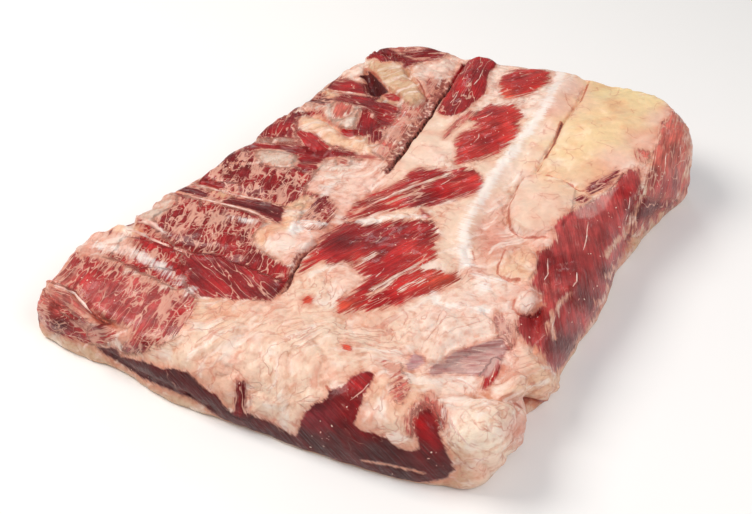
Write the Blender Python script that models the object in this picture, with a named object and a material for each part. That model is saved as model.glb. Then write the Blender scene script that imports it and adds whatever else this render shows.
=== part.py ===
"""A boneless beef brisket, lying on its fat cap with the rib side up.

The slab is one solid. Its skin is a grid of points over the rib side, a rolled wall round the edge and a
flat base. Every seam, flap and bulge of the meat is then pushed into that skin, and the mesh is thinned so
that its triangles gather where the shape turns.

Tables are in millimetres and become metres when the mesh is made. +Y runs along the ribs' row from the thin
front end to the back, +X from the breastbone side to the thick yellow-fat block, and Z is up.
"""

import bpy
import numpy as np

# Driving dimensions, in millimetres.
SLAB_LENGTH = 413.0
SLAB_WIDTH = 370.0
BLOCK_HEIGHT = 60.0
RIB_SIDE_HEIGHT = 47.0
BREASTBONE_HEIGHT = 37.0
FRONT_HEIGHT = 42.0

MILLIMETRE = 0.001
TRIANGLE_LIMIT = 10800

# Grid of the skin: cells across, cells along, and rows in the roll and in the tuck of the wall.
CELLS_ACROSS = 150
CELLS_ALONG = 164
ROLL_ROWS = 14
TUCK_ROWS = 5

# The wall: height of its widest level, how square its roll is, and how far corners are smoothed.
WIDEST_LEVEL = 11.0
ROLL_POWER = 2.5
EDGE_SMOOTHING = 28.0

# The plan is drawn at this height, by lines from the pole, so that the front and right walls show in it too.
PLAN_HEIGHT = 45.0
PLAN_POLE = np.array((230.0, -579.0, 506.0))

# The four edges seen from above, each from its first corner to just before the next.
# One row is (x, y, width of the roll, tuck under at the base).
FRONT_EDGE = (
    (-181, -181, 15, 3), (-160, -190, 16, 3), (-134, -193, 20, 3), (-104, -195, 26, 3),
    (-76, -203, 32, 3), (-50, -206, 34, 3), (-8, -206, 38, 4), (45, -207, 34, 3), (90, -204, 28, 3),
    (118, -199, 20, 4),
)
RIGHT_EDGE = (
    (129, -194, 16, 5), (135, -182, 15, 6), (138, -165, 14, 6), (141, -150, 12, 5), (137, -134, 12, 5),
    (144, -121, 14, 5), (148, -101, 18, 4), (152, -62, 22, 3), (158, -18, 20, 3), (157, 14, 18, 4),
    (163, 46, 15, 4), (170, 80, 16, 4), (179, 108, 17, 5),
)
BACK_EDGE = (
    (186, 129, 18, 8), (174, 154, 14, 10), (149, 174, 10, 8), (116, 183, 8, 5), (95, 189, 7, 5),
    (84, 193, 9, 4), (66, 204, 12, 4), (40, 200, 12, 4), (14, 198, 12, 4), (-4, 204, 12, 4),
    (-18, 196, 9, 4), (-34, 203, 12, 4), (-58, 202, 15, 4),
)
LEFT_EDGE = (
    (-84, 193, 16, 4), (-98, 174, 14, 4), (-111, 146, 13, 4), (-121, 104, 13, 4), (-128, 72, 13, 4),
    (-133, 42, 12, 4), (-137, 18, 13, 4), (-143, -8, 13, 4), (-151, -36, 12, 4), (-159, -58, 13, 4),
    (-166, -90, 13, 4), (-182, -113, 13, 4), (-183, -131, 14, 4), (-182, -152, 14, 4),
)

# Heights of the rib side at places of the plan, (x, y, height), and how far each one reaches.
HEIGHT_STATIONS = (
    (-160, -150, BREASTBONE_HEIGHT - 1), (-140, -60, BREASTBONE_HEIGHT), (-122, 20, BREASTBONE_HEIGHT),
    (-105, 110, BREASTBONE_HEIGHT + 1), (-80, 180, BREASTBONE_HEIGHT + 2), (-100, -130, 41),
    (-80, -50, 42), (-65, 40, 43), (-50, 140, 44), (-60, -175, FRONT_HEIGHT), (-140, -182, 33),
    (-20, -150, 45), (10, -60, RIB_SIDE_HEIGHT), (20, 50, RIB_SIDE_HEIGHT), (20, 170, RIB_SIDE_HEIGHT),
    (60, -170, 44), (70, -90, 47), (60, 60, 48), (65, 180, 47), (100, -60, 48), (120, -150, 45),
    (135, -60, 49), (120, 20, 54), (120, 110, BLOCK_HEIGHT - 1), (150, 140, BLOCK_HEIGHT + 1),
    (108, 172, BLOCK_HEIGHT + 1),
)
STATION_REACH = 34.0

# Clefts between muscles: (points along the cleft, depth, half-width).
CLEFTS = (
    # The long seam between the breastbone side and the rib side, open, then closed by fat, then open again.
    (((-17, 210), (-16.5, 180), (-15.5, 150), (-15, 100), (-15, 50), (-15, 17)), 8.0, 2.6),
    (((-21, 205), (-20, 150), (-20, 90), (-20, 30)), 3.0, 6.0),
    (((-15, 17), (-20, -20), (-27, -62)), 3.5, 7.0),
    (((-27, -62), (-28.5, -85), (-31, -94), (-29, -106), (-27, -118), (-29, -138)), 8.0, 2.8),
    # Behind the rolled lip at the front left.
    (((-150, -179), (-140, -184), (-128, -190), (-116, -194), (-106, -196)), 8.0, 3.0),
    # Between the pink strip and the yellow block, round its loose lobe.
    (((85, 210), (87, 165), (84, 130), (84, 95), (83, 60), (77, 48), (76, 12), (80, 1), (88, -10),
      (100, -14), (112, -11)), 5.0, 2.6),
    (((83, 56), (96, 55), (108, 54), (119, 48)), 3.0, 2.4),
    # Under the small flap in front of the lobe, and the torn pocket beside it.
    (((91, -40), (92, -50), (98, -58), (104, -60)), 4.0, 2.4),
    (((108, -84), (113, -89), (120, -89), (127, -82), (128, -75)), 5.0, 2.8),
    # Valleys across the breastbone side, where the bones were.
    (((-160, -104), (-140, -108), (-118, -113), (-100, -113), (-72, -106)), 4.5, 4.5),
    (((-150, -45), (-128, -44), (-108, -45), (-78, -44)), 3.5, 5.0),
    (((-128, 14), (-108, 15), (-84, 17), (-58, 25)), 3.5, 5.0),
    (((-112, 74), (-96, 66), (-80, 60), (-66, 54), (-52, 50)), 4.0, 4.0),
    (((-86, 142), (-76, 126), (-62, 112), (-48, 114)), 5.0, 4.5),
    # Edge of the cream flap at the back, which throws a shadow on the fat beside it.
    (((-56, 154), (-45, 138), (-34, 130), (-25, 119)), 4.0, 2.6),
    # Creases of the fat at the front, and the torn cleft near the base.
    (((-28, -140), (-29, -170), (-26, -205)), 2.4, 5.0),
    (((-12, -206), (-6, -216), (2, -224)), 4.0, 3.5),
    (((73, -118), (76, -134), (74, -160)), 3.0, 4.0),
    # Between the knobs at the front right corner.
    (((112, -162), (128, -160), (140, -158), (152, -156)), 6.0, 4.5),
    (((138, -160), (141, -178), (141, -200)), 4.0, 3.0),
    (((116, -118), (124, -128), (122, -150)), 3.0, 4.0),
    # Torn furrows of the lean right wall.
    (((118, -20), (122, -50), (126, -72), (131, -100), (137, -120)), 4.0, 5.0),
    (((158, 62), (160, 30), (164, 8), (164, -10)), 3.5, 3.5),
)

# Ridges of tendon and fat: (points along the ridge, height, half-width).
RIDGES = (
    (((76, 208), (68, 160), (63, 120), (60, 80), (57, 40), (57, 0), (59, -25), (66, -46), (74, -60)), 3.2, 5.5),
    (((73, 205), (74, 160), (74, 110), (73, 60)), 2.5, 9.0),
    (((-164, -112), (-140, -114), (-118, -118), (-102, -120), (-82, -115), (-62, -106)), 2.4, 3.2),
    (((-156, -100), (-140, -101), (-124, -106)), 3.0, 2.8),
    (((-140, -62), (-120, -64), (-100, -64), (-74, -62), (-60, -68)), 1.8, 3.0),
    (((-122, -52), (-112, -54), (-100, -51), (-70, -47)), 2.2, 2.8),
    (((-122, 17), (-110, 21), (-98, 25), (-88, 27)), 2.2, 3.2),
    (((-166, -180), (-150, -181), (-140, -187), (-126, -195), (-112, -201)), 4.5, 5.0),
    (((25, 33), (12, 12), (-2, -12), (-14, -34)), 1.4, 2.0),
    (((42, -72), (34, -86), (27, -98), (24, -108)), 1.4, 2.0),
    (((-8, -44), (6, -34), (20, -26), (32, -18)), 1.8, 4.0),
    (((138, -32), (141, -50), (134, -66), (134, -92), (140, -114)), 3.5, 4.0),
    (((78, -98), (96, -100), (110, -108)), 1.6, 4.0),
    (((84, -64), (98, -64), (112, -62), (122, -68)), 2.2, 4.0),
    (((100, -172), (110, -190), (124, -206), (134, -214)), 2.5, 4.0),
)

# Ledges, where the meat on the left of the drawn line stands higher: (points, height, how fast it falls away).
LEDGES = (
    (((112, -11), (100, -14), (88, -10), (80, 1), (76, 12), (77, 48), (83, 60), (84, 95), (84, 130),
      (87, 165), (85, 210)), -4.5, 34.0),
    (((112, -61), (98, -58), (92, -50), (91, -38)), -3.0, 16.0),
    (((116, -112), (110, -120), (95, -131), (88, -146), (78, -150)), -3.5, 22.0),
    (((-90, 158), (-80, 161), (-68, 164), (-57, 154), (-45, 138), (-30, 123)), 4.5, 20.0),
    (((-36, 106), (-46, 113), (-60, 122), (-75, 136), (-86, 147)), 3.5, 14.0),
)

# Bulges and hollows: (x, y, half-width across, half-width along, height).
BULGES = (
    (128, -184, 17, 22, 9), (141, -138, 12, 14, 8), (118, -76, 9, 10, 4), (-112, -197, 6, 5, 3.5),
    (-98, -202, 6, 5, 2.5), (-86, -199, 8, 8, 3.5), (-110, -80, 34, 22, 3.0), (-96, -12, 30, 22, 3.0),
    (-88, 42, 26, 16, 2.5), (-78, 82, 26, 18, 3.0), (-62, 182, 28, 12, 2.0), (-130, -150, 36, 26, 3.0),
    (-52, -88, 20, 20, 3.5), (-60, -4, 20, 22, 2.0), (0, 160, 11, 46, 3.5), (30, -82, 44, 36, 2.5),
    (30, 5, 34, 28, 2.0), (36, 92, 22, 40, 2.5), (38, 175, 16, 24, 2.0), (-60, -180, 34, 28, 3.5),
    (10, -168, 34, 34, 3.5), (78, -190, 22, 22, 3.5), (84, -118, 26, 18, 3.0), (98, 24, 20, 30, 2.0),
    (124, 130, 34, 50, 2.0), (102, -130, 14, 18, -4.0), (72, -24, 10, 40, -2.5), (172, 84, 12, 24, 3.0),
)

# Flaps and lobes with a crisp edge, and torn hollows: (outline, height, how wide the edge is).
FLAPS = (
    (((-90, 157), (-88, 163), (-83, 161), (-78, 159), (-74, 163), (-66, 164.5), (-62, 162), (-58, 157),
      (-50, 148), (-45, 140), (-41, 137), (-36, 134), (-30, 128), (-24, 121), (-25, 112), (-30, 105),
      (-34, 104), (-38, 107), (-42, 112), (-50, 117), (-58, 121), (-62, 124), (-70, 131), (-78, 138),
      (-84, 143), (-86, 150), (-92, 153)), 3.0, 1.6),
    (((90, -30), (98, -28), (108, -28), (113, -36), (115, -46), (113, -57), (104, -60), (97, -58),
      (92, -53), (90, -42)), 1.7, 1.2),
    (((72, -100), (95, -98), (112, -110), (110, -118), (92, -135), (85, -148), (75, -150), (62, -144),
      (58, -120)), 1.6, 2.0),
    (((77, 30), (79, 10), (84, -4), (96, -11), (108, -10), (118, 2), (120, 20), (116, 46), (104, 52),
      (86, 52), (77, 45)), 1.8, 1.6),
    (((-52, -62), (-44, -58), (-36, -54), (-30, -55), (-32, -62), (-41, -66), (-46, -74), (-51, -71)), 1.6, 1.2),
    (((-14, -37), (-6, -35), (2, -38), (0, -43), (-6, -50), (-11, -51), (-14, -44)), 0.9, 1.0),
    (((1, -32), (10, -26), (20, -21), (27, -20), (28, -23), (18, -28), (8, -33), (2, -36)), 0.9, 1.0),
    (((-168, -178), (-146, -178), (-134, -185), (-118, -193), (-112, -200), (-124, -200), (-140, -192),
      (-160, -187)), 2.4, 2.0),
    (((-86, 143), (-81, 136), (-89, 131), (-80, 127), (-76, 121), (-68, 107), (-60, 107), (-56, 118),
      (-62, 124), (-70, 131), (-78, 139)), -2.6, 4.0),
    (((-69, -67), (-57, -70), (-40, -70), (-28, -76), (-28, -98), (-40, -101), (-56, -97), (-66, -89)), 1.4, 4.0),
    (((-116, 4), (-108, 10), (-95, 13), (-84, 10), (-79, 3), (-80, -5), (-92, -9), (-106, -8)), 1.4, 4.0),
    (((-106, 56), (-98, 42), (-78, 38), (-58, 33), (-34, 34), (-33, 46), (-54, 50), (-72, 52), (-94, 60)), 1.4, 4.0),
    (((-92, 88), (-80, 91), (-68, 89), (-61, 70), (-59, 60), (-76, 57), (-93, 70)), 1.4, 4.0),
)

# Lobules of fat and the unevenness of cut meat: (scale, height, seed).
LOBULES = ((17.0, 1.5, 3), (8.5, 0.6, 11))
UNEVENNESS = ((52.0, 2.0, 21), (21.0, 1.1, 22), (10.0, 0.6, 23))
RELIEF_STARTS = 4.0
RELIEF_FULL = 14.0

MEAT_COLOUR = (0.42, 0.08, 0.07, 1.0)
MEAT_ROUGHNESS = 0.42


def lattice_value(column, row, seed):
    """A fixed pseudo-random value from 0 to 1 for each point of a lattice."""
    mixed = np.sin(column * 127.1 + row * 311.7 + seed * 74.7) * 43758.5453
    return mixed - np.floor(mixed)


def smooth_noise(x, y, scale, seed):
    """Noise from -1 to 1 that changes over about one scale."""
    u, v = x / scale, y / scale
    column, row = np.floor(u), np.floor(v)
    u, v = u - column, v - row
    u, v = u * u * (3 - 2 * u), v * v * (3 - 2 * v)
    low = lattice_value(column, row, seed) * (1 - u) + lattice_value(column + 1, row, seed) * u
    high = lattice_value(column, row + 1, seed) * (1 - u) + lattice_value(column + 1, row + 1, seed) * u
    return 2 * (low * (1 - v) + high * v) - 1


def lobule_shape(x, y, scale, seed):
    """Rounded cells, 1 at each cell's middle and 0 at its edge."""
    u, v = x / scale, y / scale
    column, row = np.floor(u), np.floor(v)
    nearest = np.full(u.shape, 9.0)
    second = np.full(u.shape, 9.0)
    for across in (-1, 0, 1):
        for along in (-1, 0, 1):
            cell_u, cell_v = column + across, row + along
            seed_u = cell_u + lattice_value(cell_u, cell_v, seed)
            seed_v = cell_v + lattice_value(cell_u, cell_v, seed + 1)
            distance = np.hypot(u - seed_u, v - seed_v)
            second = np.minimum(second, np.maximum(nearest, distance))
            nearest = np.minimum(nearest, distance)
    return np.clip((second - nearest) * 1.6, 0, 1) ** 0.6


def closed_curve(rows, samples_each):
    """A smooth closed curve through the rows, with the same number of samples after each row."""
    rows = np.asarray(rows, float)
    before, after, later = np.roll(rows, 1, 0), np.roll(rows, -1, 0), np.roll(rows, -2, 0)
    share = (np.arange(samples_each) / samples_each)[None, :, None]
    a, b, c, d = (part[:, None, :] for part in (before, rows, after, later))
    curve = 0.5 * (
        2 * b + (c - a) * share + (2 * a - 5 * b + 4 * c - d) * share**2 + (3 * b - a - 3 * c + d) * share**3
    )
    return curve.reshape(-1, rows.shape[1])


def evenly_spaced(points, cells):
    """The run of points again, with the given number of equal steps along it."""
    step = np.hypot(*np.diff(points[:, :2], axis=0).T)
    walked = np.concatenate(([0.0], np.cumsum(step)))
    wanted = np.linspace(0, walked[-1], cells + 1)
    return np.stack([np.interp(wanted, walked, column) for column in points.T], axis=1)


def edge_loop():
    """The edge all round, as (x, y, roll, tuck), and the number of cells on each of its four sides."""
    sides = (FRONT_EDGE, RIGHT_EDGE, BACK_EDGE, LEFT_EDGE)
    cells = (CELLS_ACROSS, CELLS_ALONG, CELLS_ACROSS, CELLS_ALONG)
    samples_each = 24
    curve = closed_curve(sum(sides, ()), samples_each)
    curve = np.vstack((curve, curve[:1]))
    pieces, start = [], 0
    for side, count in zip(sides, cells):
        end = start + len(side) * samples_each
        pieces.append(evenly_spaced(curve[start : end + 1], count)[:-1])
        start = end
    return np.vstack(pieces)


def inward_directions(loop):
    """Unit directions into the slab at each point of the loop, smoothed so that offsets don't cross."""
    ahead, behind = np.roll(loop[:, :2], -1, 0), np.roll(loop[:, :2], 1, 0)
    tangent = ahead - behind
    inward = np.stack((-tangent[:, 1], tangent[:, 0]), axis=1)
    inward /= np.hypot(*inward.T)[:, None]
    spacing = np.hypot(*(ahead - behind).T).mean() / 2
    half = int(3 * EDGE_SMOOTHING / spacing)
    weights = np.exp(-0.5 * (np.arange(-half, half + 1) * spacing / EDGE_SMOOTHING) ** 2)
    smoothed = sum(weight * np.roll(inward, shift, 0) for shift, weight in zip(range(-half, half + 1), weights))
    return smoothed / np.hypot(*smoothed.T)[:, None]


def filled_grid(loop):
    """Points inside a loop of four sides, blended from the sides, as an array of rows along by columns across."""
    across, along = CELLS_ACROSS, CELLS_ALONG
    front = loop[: across + 1]
    right = loop[across : across + along + 1]
    back = loop[across + along : 2 * across + along + 1][::-1]
    left = np.vstack((loop[2 * across + along :], loop[:1]))[::-1]
    u = np.linspace(0, 1, across + 1)[None, :, None]
    v = np.linspace(0, 1, along + 1)[:, None, None]
    blend = (1 - v) * front[None] + v * back[None] + (1 - u) * left[:, None] + u * right[:, None]
    corners = (
        (1 - u) * (1 - v) * front[0] + u * (1 - v) * front[-1] + (1 - u) * v * back[0] + u * v * back[-1]
    )
    return blend - corners


def rib_side_height(x, y):
    """Height of the rib side, blended from the height stations."""
    total, weights = np.zeros(x.shape), np.zeros(x.shape)
    for station_x, station_y, height in HEIGHT_STATIONS:
        squared = ((x - station_x) ** 2 + (y - station_y) ** 2) / STATION_REACH**2
        weight = np.exp(-0.5 * squared) + 1e-3 / (1 + squared)
        total += weight * height
        weights += weight
    return total / weights


def grid_faces(rows, columns, first, upward):
    """Quads of a grid of points whose first point has the given number."""
    row, column = np.meshgrid(np.arange(rows - 1), np.arange(columns - 1), indexing="ij")
    corner = first + row * columns + column
    quads = np.stack((corner, corner + 1, corner + columns + 1, corner + columns), axis=-1).reshape(-1, 4)
    return quads if upward else quads[:, ::-1]


def rim_numbers(rows, columns, first):
    """Numbers of the points round the rim of a grid, in the order of the edge loop."""
    numbers = first + np.arange(rows * columns).reshape(rows, columns)
    return np.concatenate((numbers[0, :-1], numbers[:-1, -1], numbers[-1, :0:-1], numbers[:0:-1, 0]))


def smooth_skin():
    """Points and quads of the slab before any relief: rib side, wall and flat base."""
    loop = edge_loop()
    outline, roll, tuck = loop[:, :2], loop[:, 2:3], loop[:, 3:4]
    inward = inward_directions(loop)
    plateau, base = outline + inward * roll, outline + inward * tuck
    rows, columns = CELLS_ALONG + 1, CELLS_ACROSS + 1
    top = filled_grid(plateau).reshape(-1, 2)
    bottom = filled_grid(base).reshape(-1, 2)
    points = [np.column_stack((top, rib_side_height(*top.T))), np.column_stack((bottom, np.zeros(len(bottom))))]
    faces = [grid_faces(rows, columns, 0, True), grid_faces(rows, columns, len(top), False)]

    edge_height = rib_side_height(*plateau.T)[:, None]
    rings = [rim_numbers(rows, columns, 0)]
    first = len(top) + len(bottom)
    levels = [("roll", row / ROLL_ROWS) for row in range(1, ROLL_ROWS + 1)]
    levels += [("tuck", row / TUCK_ROWS) for row in range(1, TUCK_ROWS)]
    for kind, share in levels:
        turn = share * np.pi / 2
        if kind == "roll":
            out, up = np.sin(turn) ** (2 / ROLL_POWER), np.cos(turn) ** (2 / ROLL_POWER)
            place = plateau + (outline - plateau) * out
            height = WIDEST_LEVEL + (edge_height - WIDEST_LEVEL) * up
        else:
            place = outline + (base - outline) * (1 - np.cos(turn))
            height = np.full(edge_height.shape, WIDEST_LEVEL * (1 - np.sin(turn)))
        points.append(np.column_stack((place, height)))
        rings.append(first + np.arange(len(loop)))
        first += len(loop)
    rings.append(rim_numbers(rows, columns, len(top)))
    for upper, lower in zip(rings, rings[1:]):
        faces.append(np.stack((upper, lower, np.roll(lower, -1), np.roll(upper, -1)), axis=1))
    return np.vstack(points), np.vstack(faces)


def point_normals(points, quads):
    """Unit normals of the points, averaged from the quads round each."""
    normals = np.zeros(points.shape)
    face_normals = np.cross(points[quads[:, 2]] - points[quads[:, 0]], points[quads[:, 3]] - points[quads[:, 1]])
    for corner in range(4):
        np.add.at(normals, quads[:, corner], face_normals)
    return normals / np.maximum(np.linalg.norm(normals, axis=1), 1e-9)[:, None]


def on_plan(points):
    """Where points of the skin show on the plan: the line from the pole through each one meets it there."""
    share = (PLAN_POLE[2] - PLAN_HEIGHT) / (PLAN_POLE[2] - points[:, 2])
    return PLAN_POLE[:2] + (points[:, :2] - PLAN_POLE[:2]) * share[:, None]


def distance_to_line(place, line):
    """Distance to a line of points, which side of it a place is on, and the share of the line walked there."""
    line = np.asarray(line, float)
    lengths = np.hypot(*np.diff(line, axis=0).T)
    walked = np.concatenate(([0.0], np.cumsum(lengths)))
    best = np.full(len(place), 1e9)
    side, share = np.zeros(len(place)), np.zeros(len(place))
    for start, end, length, before in zip(line, line[1:], lengths, walked):
        along = (end - start) / length
        reach = np.clip((place - start) @ along, 0, length)
        away = place - start - reach[:, None] * along
        distance = np.hypot(*away.T)
        nearer = distance < best
        cross = along[0] * away[:, 1] - along[1] * away[:, 0]
        best = np.where(nearer, distance, best)
        side = np.where(nearer, np.sign(cross), side)
        share = np.where(nearer, (before + reach) / walked[-1], share)
    return best, side, share


def depth_inside(place, outline):
    """Distance from places to an outline, positive inside it."""
    closed = outline + outline[:1]
    distance = distance_to_line(place, closed)[0]
    inside = np.zeros(len(place), bool)
    x, y = place.T
    for (x0, y0), (x1, y1) in zip(closed, closed[1:]):
        if y0 != y1:
            crosses = (y0 > y) != (y1 > y)
            inside ^= crosses & (x < x0 + (y - y0) * (x1 - x0) / (y1 - y0))
    return np.where(inside, distance, -distance)


def relief(place):
    """How far the skin stands out, in millimetres, at places of the plan."""
    x, y = place.T
    out = np.zeros(len(place))
    for line, depth, half_width in CLEFTS:
        distance, _, share = distance_to_line(place, line)
        ends = np.clip(np.minimum(share, 1 - share) * 8 + 0.25, 0, 1)
        out -= depth * ends * np.exp(-((distance / half_width) ** 2))
    for line, height, half_width in RIDGES:
        distance, _, share = distance_to_line(place, line)
        ends = np.clip(np.minimum(share, 1 - share) * 8 + 0.15, 0, 1)
        out += height * ends * np.exp(-((distance / half_width) ** 2))
    for line, height, reach in LEDGES:
        distance, side, share = distance_to_line(place, line)
        ends = np.clip(np.minimum(share, 1 - share) * 8, 0, 1)
        out += height * ends * np.where(side > 0, np.exp(-distance / reach), 0) * np.clip(distance / 1.5, 0, 1)
    for middle_x, middle_y, half_across, half_along, height in BULGES:
        squared = ((x - middle_x) / half_across) ** 2 + ((y - middle_y) / half_along) ** 2
        out += height * np.exp(-(squared**1.4) * 0.9)
    for outline, height, edge in FLAPS:
        share = np.clip(depth_inside(place, outline) / edge + 0.5, 0, 1)
        out += height * share * share * (3 - 2 * share)
    for scale, height, seed in LOBULES:
        out += height * (lobule_shape(x, y, scale, seed) - 0.6)
    for scale, height, seed in UNEVENNESS:
        out += height * smooth_noise(x, y, scale, seed)
    return out


def wall_unevenness(points):
    """How far the back and left walls stand out, from noise along the wall and up it."""
    x, y, z = points.T
    return sum(height * 1.2 * smooth_noise(x + 1.7 * z, y - 1.3 * z, scale, seed)
               for scale, height, seed in UNEVENNESS)


def sculpted_skin():
    """The skin with its relief, centred over the base, in millimetres."""
    points, quads = smooth_skin()
    normals = point_normals(points, quads)
    toward_pole = PLAN_POLE - points
    toward_pole /= np.linalg.norm(toward_pole, axis=1)[:, None]
    facing = np.clip((normals * toward_pole).sum(1) * 4 + 0.2, 0, 1)
    above_base = np.clip((points[:, 2] - RELIEF_STARTS) / (RELIEF_FULL - RELIEF_STARTS), 0, 1)
    out = facing * relief(on_plan(points)) + (1 - facing) * wall_unevenness(points)
    points = points + normals * (out * above_base)[:, None]
    points[:, 2] = np.maximum(points[:, 2], 0.0)
    lowest, highest = points.min(0), points.max(0)
    wanted = np.array((SLAB_WIDTH, SLAB_LENGTH))
    middle = (lowest + highest)[:2] / 2
    points[:, :2] = (points[:, :2] - middle) * wanted / (highest - lowest)[:2]
    return points, quads


def meat_material():
    """Moist raw beef."""
    material = bpy.data.materials.new("raw_beef")
    material.use_nodes = True
    shader = material.node_tree.nodes["Principled BSDF"]
    shader.inputs["Base Color"].default_value = MEAT_COLOUR
    shader.inputs["Roughness"].default_value = MEAT_ROUGHNESS
    shader.inputs["Metallic"].default_value = 0.0
    return material


def build_brisket():
    """The brisket as one object, thinned to its triangle limit."""
    points, quads = sculpted_skin()
    mesh = bpy.data.meshes.new("brisket")
    mesh.from_pydata((points * MILLIMETRE).tolist(), [], quads.tolist())
    mesh.shade_smooth()
    mesh.materials.append(meat_material())
    brisket = bpy.data.objects.new("brisket", mesh)
    bpy.context.scene.collection.objects.link(brisket)
    thin = brisket.modifiers.new("thin", "DECIMATE")
    thin.decimate_type = "COLLAPSE"
    thin.use_collapse_triangulate = True
    thin.ratio = TRIANGLE_LIMIT / (2 * len(quads))
    return brisket


def main():
    """Clears the scene and builds the part."""
    for old in list(bpy.data.objects):
        bpy.data.objects.remove(old)
    build_brisket()


main()
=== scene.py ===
"""Looks of a raw boneless beef brisket, lying on its fat cap with the rib side up.

Tables are in millimetres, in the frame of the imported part: +X from the breastbone side to the thick block
of yellow fat, +Y from the thin front end to the back, +Z up. Places on the meat are given on a plan that is
drawn at PLAN_HEIGHT by lines from PLAN_POLE, so that the front and right walls show in it as well as the
top. The four edges and the height stations are given in real x and y instead.
"""

import logging
import math
from dataclasses import dataclass
from enum import Enum
from functools import partial

import bmesh
import bpy
import numpy as np
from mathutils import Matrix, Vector
from mathutils.bvhtree import BVHTree

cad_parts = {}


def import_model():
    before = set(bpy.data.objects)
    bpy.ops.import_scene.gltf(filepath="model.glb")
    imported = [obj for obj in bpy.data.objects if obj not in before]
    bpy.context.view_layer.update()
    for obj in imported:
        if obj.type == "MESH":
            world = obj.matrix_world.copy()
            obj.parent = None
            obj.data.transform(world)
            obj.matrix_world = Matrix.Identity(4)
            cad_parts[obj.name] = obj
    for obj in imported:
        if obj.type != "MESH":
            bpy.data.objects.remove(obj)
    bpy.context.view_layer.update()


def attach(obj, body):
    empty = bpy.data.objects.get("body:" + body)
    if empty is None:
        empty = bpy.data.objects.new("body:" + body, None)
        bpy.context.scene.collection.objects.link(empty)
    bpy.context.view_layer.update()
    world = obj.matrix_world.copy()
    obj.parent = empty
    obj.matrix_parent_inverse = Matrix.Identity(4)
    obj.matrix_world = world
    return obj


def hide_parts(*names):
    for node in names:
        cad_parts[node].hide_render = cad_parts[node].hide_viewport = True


Points = np.ndarray
Path = tuple[tuple[float, float], ...]

MILLIMETRE = 0.001
BODY = "root"
NODE = "brisket"

# The slab's own sizes.
SLAB_LENGTH = 413.0
SLAB_WIDTH = 370.0
BLOCK_HEIGHT = 60.0
RIB_SIDE_HEIGHT = 47.0
BREASTBONE_HEIGHT = 37.0
FRONT_HEIGHT = 42.0
WIDEST_LEVEL = 11.0
ROLL_POWER = 2.5
EDGE_SMOOTHING = 28.0

PLAN_HEIGHT = 45.0
PLAN_POLE = np.array((230.0, -579.0, 506.0))

# Where the camera stands, and how it looks down at the slab.
VIEW_AZIMUTH = 23.0
VIEW_ELEVATION = 40.0
LENS_MM = 52.66
SENSOR_MM = 36.0
NEAREST_SEEN = 0.01

# Soft lights, as (name, place in metres, size in metres, power in watts, colour).
SOFTBOXES = (
    ("key", (-0.80, -0.20, 1.10), 0.7, 13.2, "#FFF9F2"), ("fill", (0.85, -0.40, 0.95), 0.8, 6.6, "#FBFCFF"),
    ("glint", (-0.386, 0.971, 0.82), 0.20, 1.0, "#FFFFFF"),
)


class Lean(Enum):
    """Colours of lean meat."""

    BRIGHT = "#B92E28"
    RED = "#A01C1E"
    DEEP = "#861418"
    DARK = "#6C1014"
    MAROON = "#520C0E"
    PURPLE = "#85282F"
    # Red of the walls and some patches, painted lighter for the sheen the right wall catches.
    WALL = "#AC4442"
    ROSE = "#BE6054"
    BLOOD = "#A80E12"
    ORANGE = "#D24C36"
    FILM = "#B0727A"


class Fat(Enum):
    """Colours of fat, tendon and gristle."""

    CREAM = "#EFCEB7"
    WARM = "#EDC2A2"
    YELLOW = "#F2D0A0"
    STRAW = "#EFD4A0"
    PALE = "#F3D6C6"
    # Pale fat of the front right corner, painted lighter for the light that falls on it.
    LIGHT = "#FAE4CE"
    PINK = "#EDBFAE"
    ROSE = "#DDA08E"
    TAN = "#D8B290"
    WHITE = "#FCF3EC"
    GRISTLE = "#D8BCAC"


@dataclass(frozen=True)
class Muscle:
    """A patch of lean on the plan.

    Attributes:
        outline: Corners of the patch.
        colour: Its main colour.
        grain: Direction of its fibres, in degrees from +X.
        feather: How far its edge fringes along the fibres, in millimetres.
        marbling: Share of fat veins in it, from 0 to 1.
        lift: How far it stands out, in millimetres.
    """

    outline: Path
    colour: Lean
    grain: float
    feather: float
    marbling: float
    lift: float = 0.6


# The four edges seen from above, as (x, y, width of the roll, tuck under at the base).
FRONT_EDGE = (
    (-181, -181, 15, 3), (-160, -190, 16, 3), (-134, -193, 20, 3), (-104, -195, 26, 3), (-76, -203, 32, 3),
    (-50, -206, 34, 3), (-8, -206, 38, 4), (45, -207, 34, 3), (90, -204, 28, 3), (118, -199, 20, 4),
)
RIGHT_EDGE = (
    (129, -194, 16, 5), (135, -182, 15, 6), (138, -165, 14, 6), (141, -150, 12, 5), (137, -134, 12, 5),
    (144, -121, 14, 5), (148, -101, 18, 4), (152, -62, 22, 3), (158, -18, 20, 3), (157, 14, 18, 4),
    (163, 46, 15, 4), (170, 80, 16, 4), (179, 108, 17, 5),
)
BACK_EDGE = (
    (186, 129, 18, 8), (174, 154, 14, 10), (149, 174, 10, 8), (116, 183, 8, 5), (95, 189, 7, 5),
    (84, 193, 9, 4), (66, 204, 12, 4), (40, 200, 12, 4), (14, 198, 12, 4), (-4, 204, 12, 4),
    (-18, 196, 9, 4), (-34, 203, 12, 4), (-58, 202, 15, 4),
)
LEFT_EDGE = (
    (-84, 193, 16, 4), (-98, 174, 14, 4), (-111, 146, 13, 4), (-121, 104, 13, 4), (-128, 72, 13, 4),
    (-133, 42, 12, 4), (-137, 18, 13, 4), (-143, -8, 13, 4), (-151, -36, 12, 4), (-159, -58, 13, 4),
    (-166, -90, 13, 4), (-182, -113, 13, 4), (-183, -131, 14, 4), (-182, -152, 14, 4),
)

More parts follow.
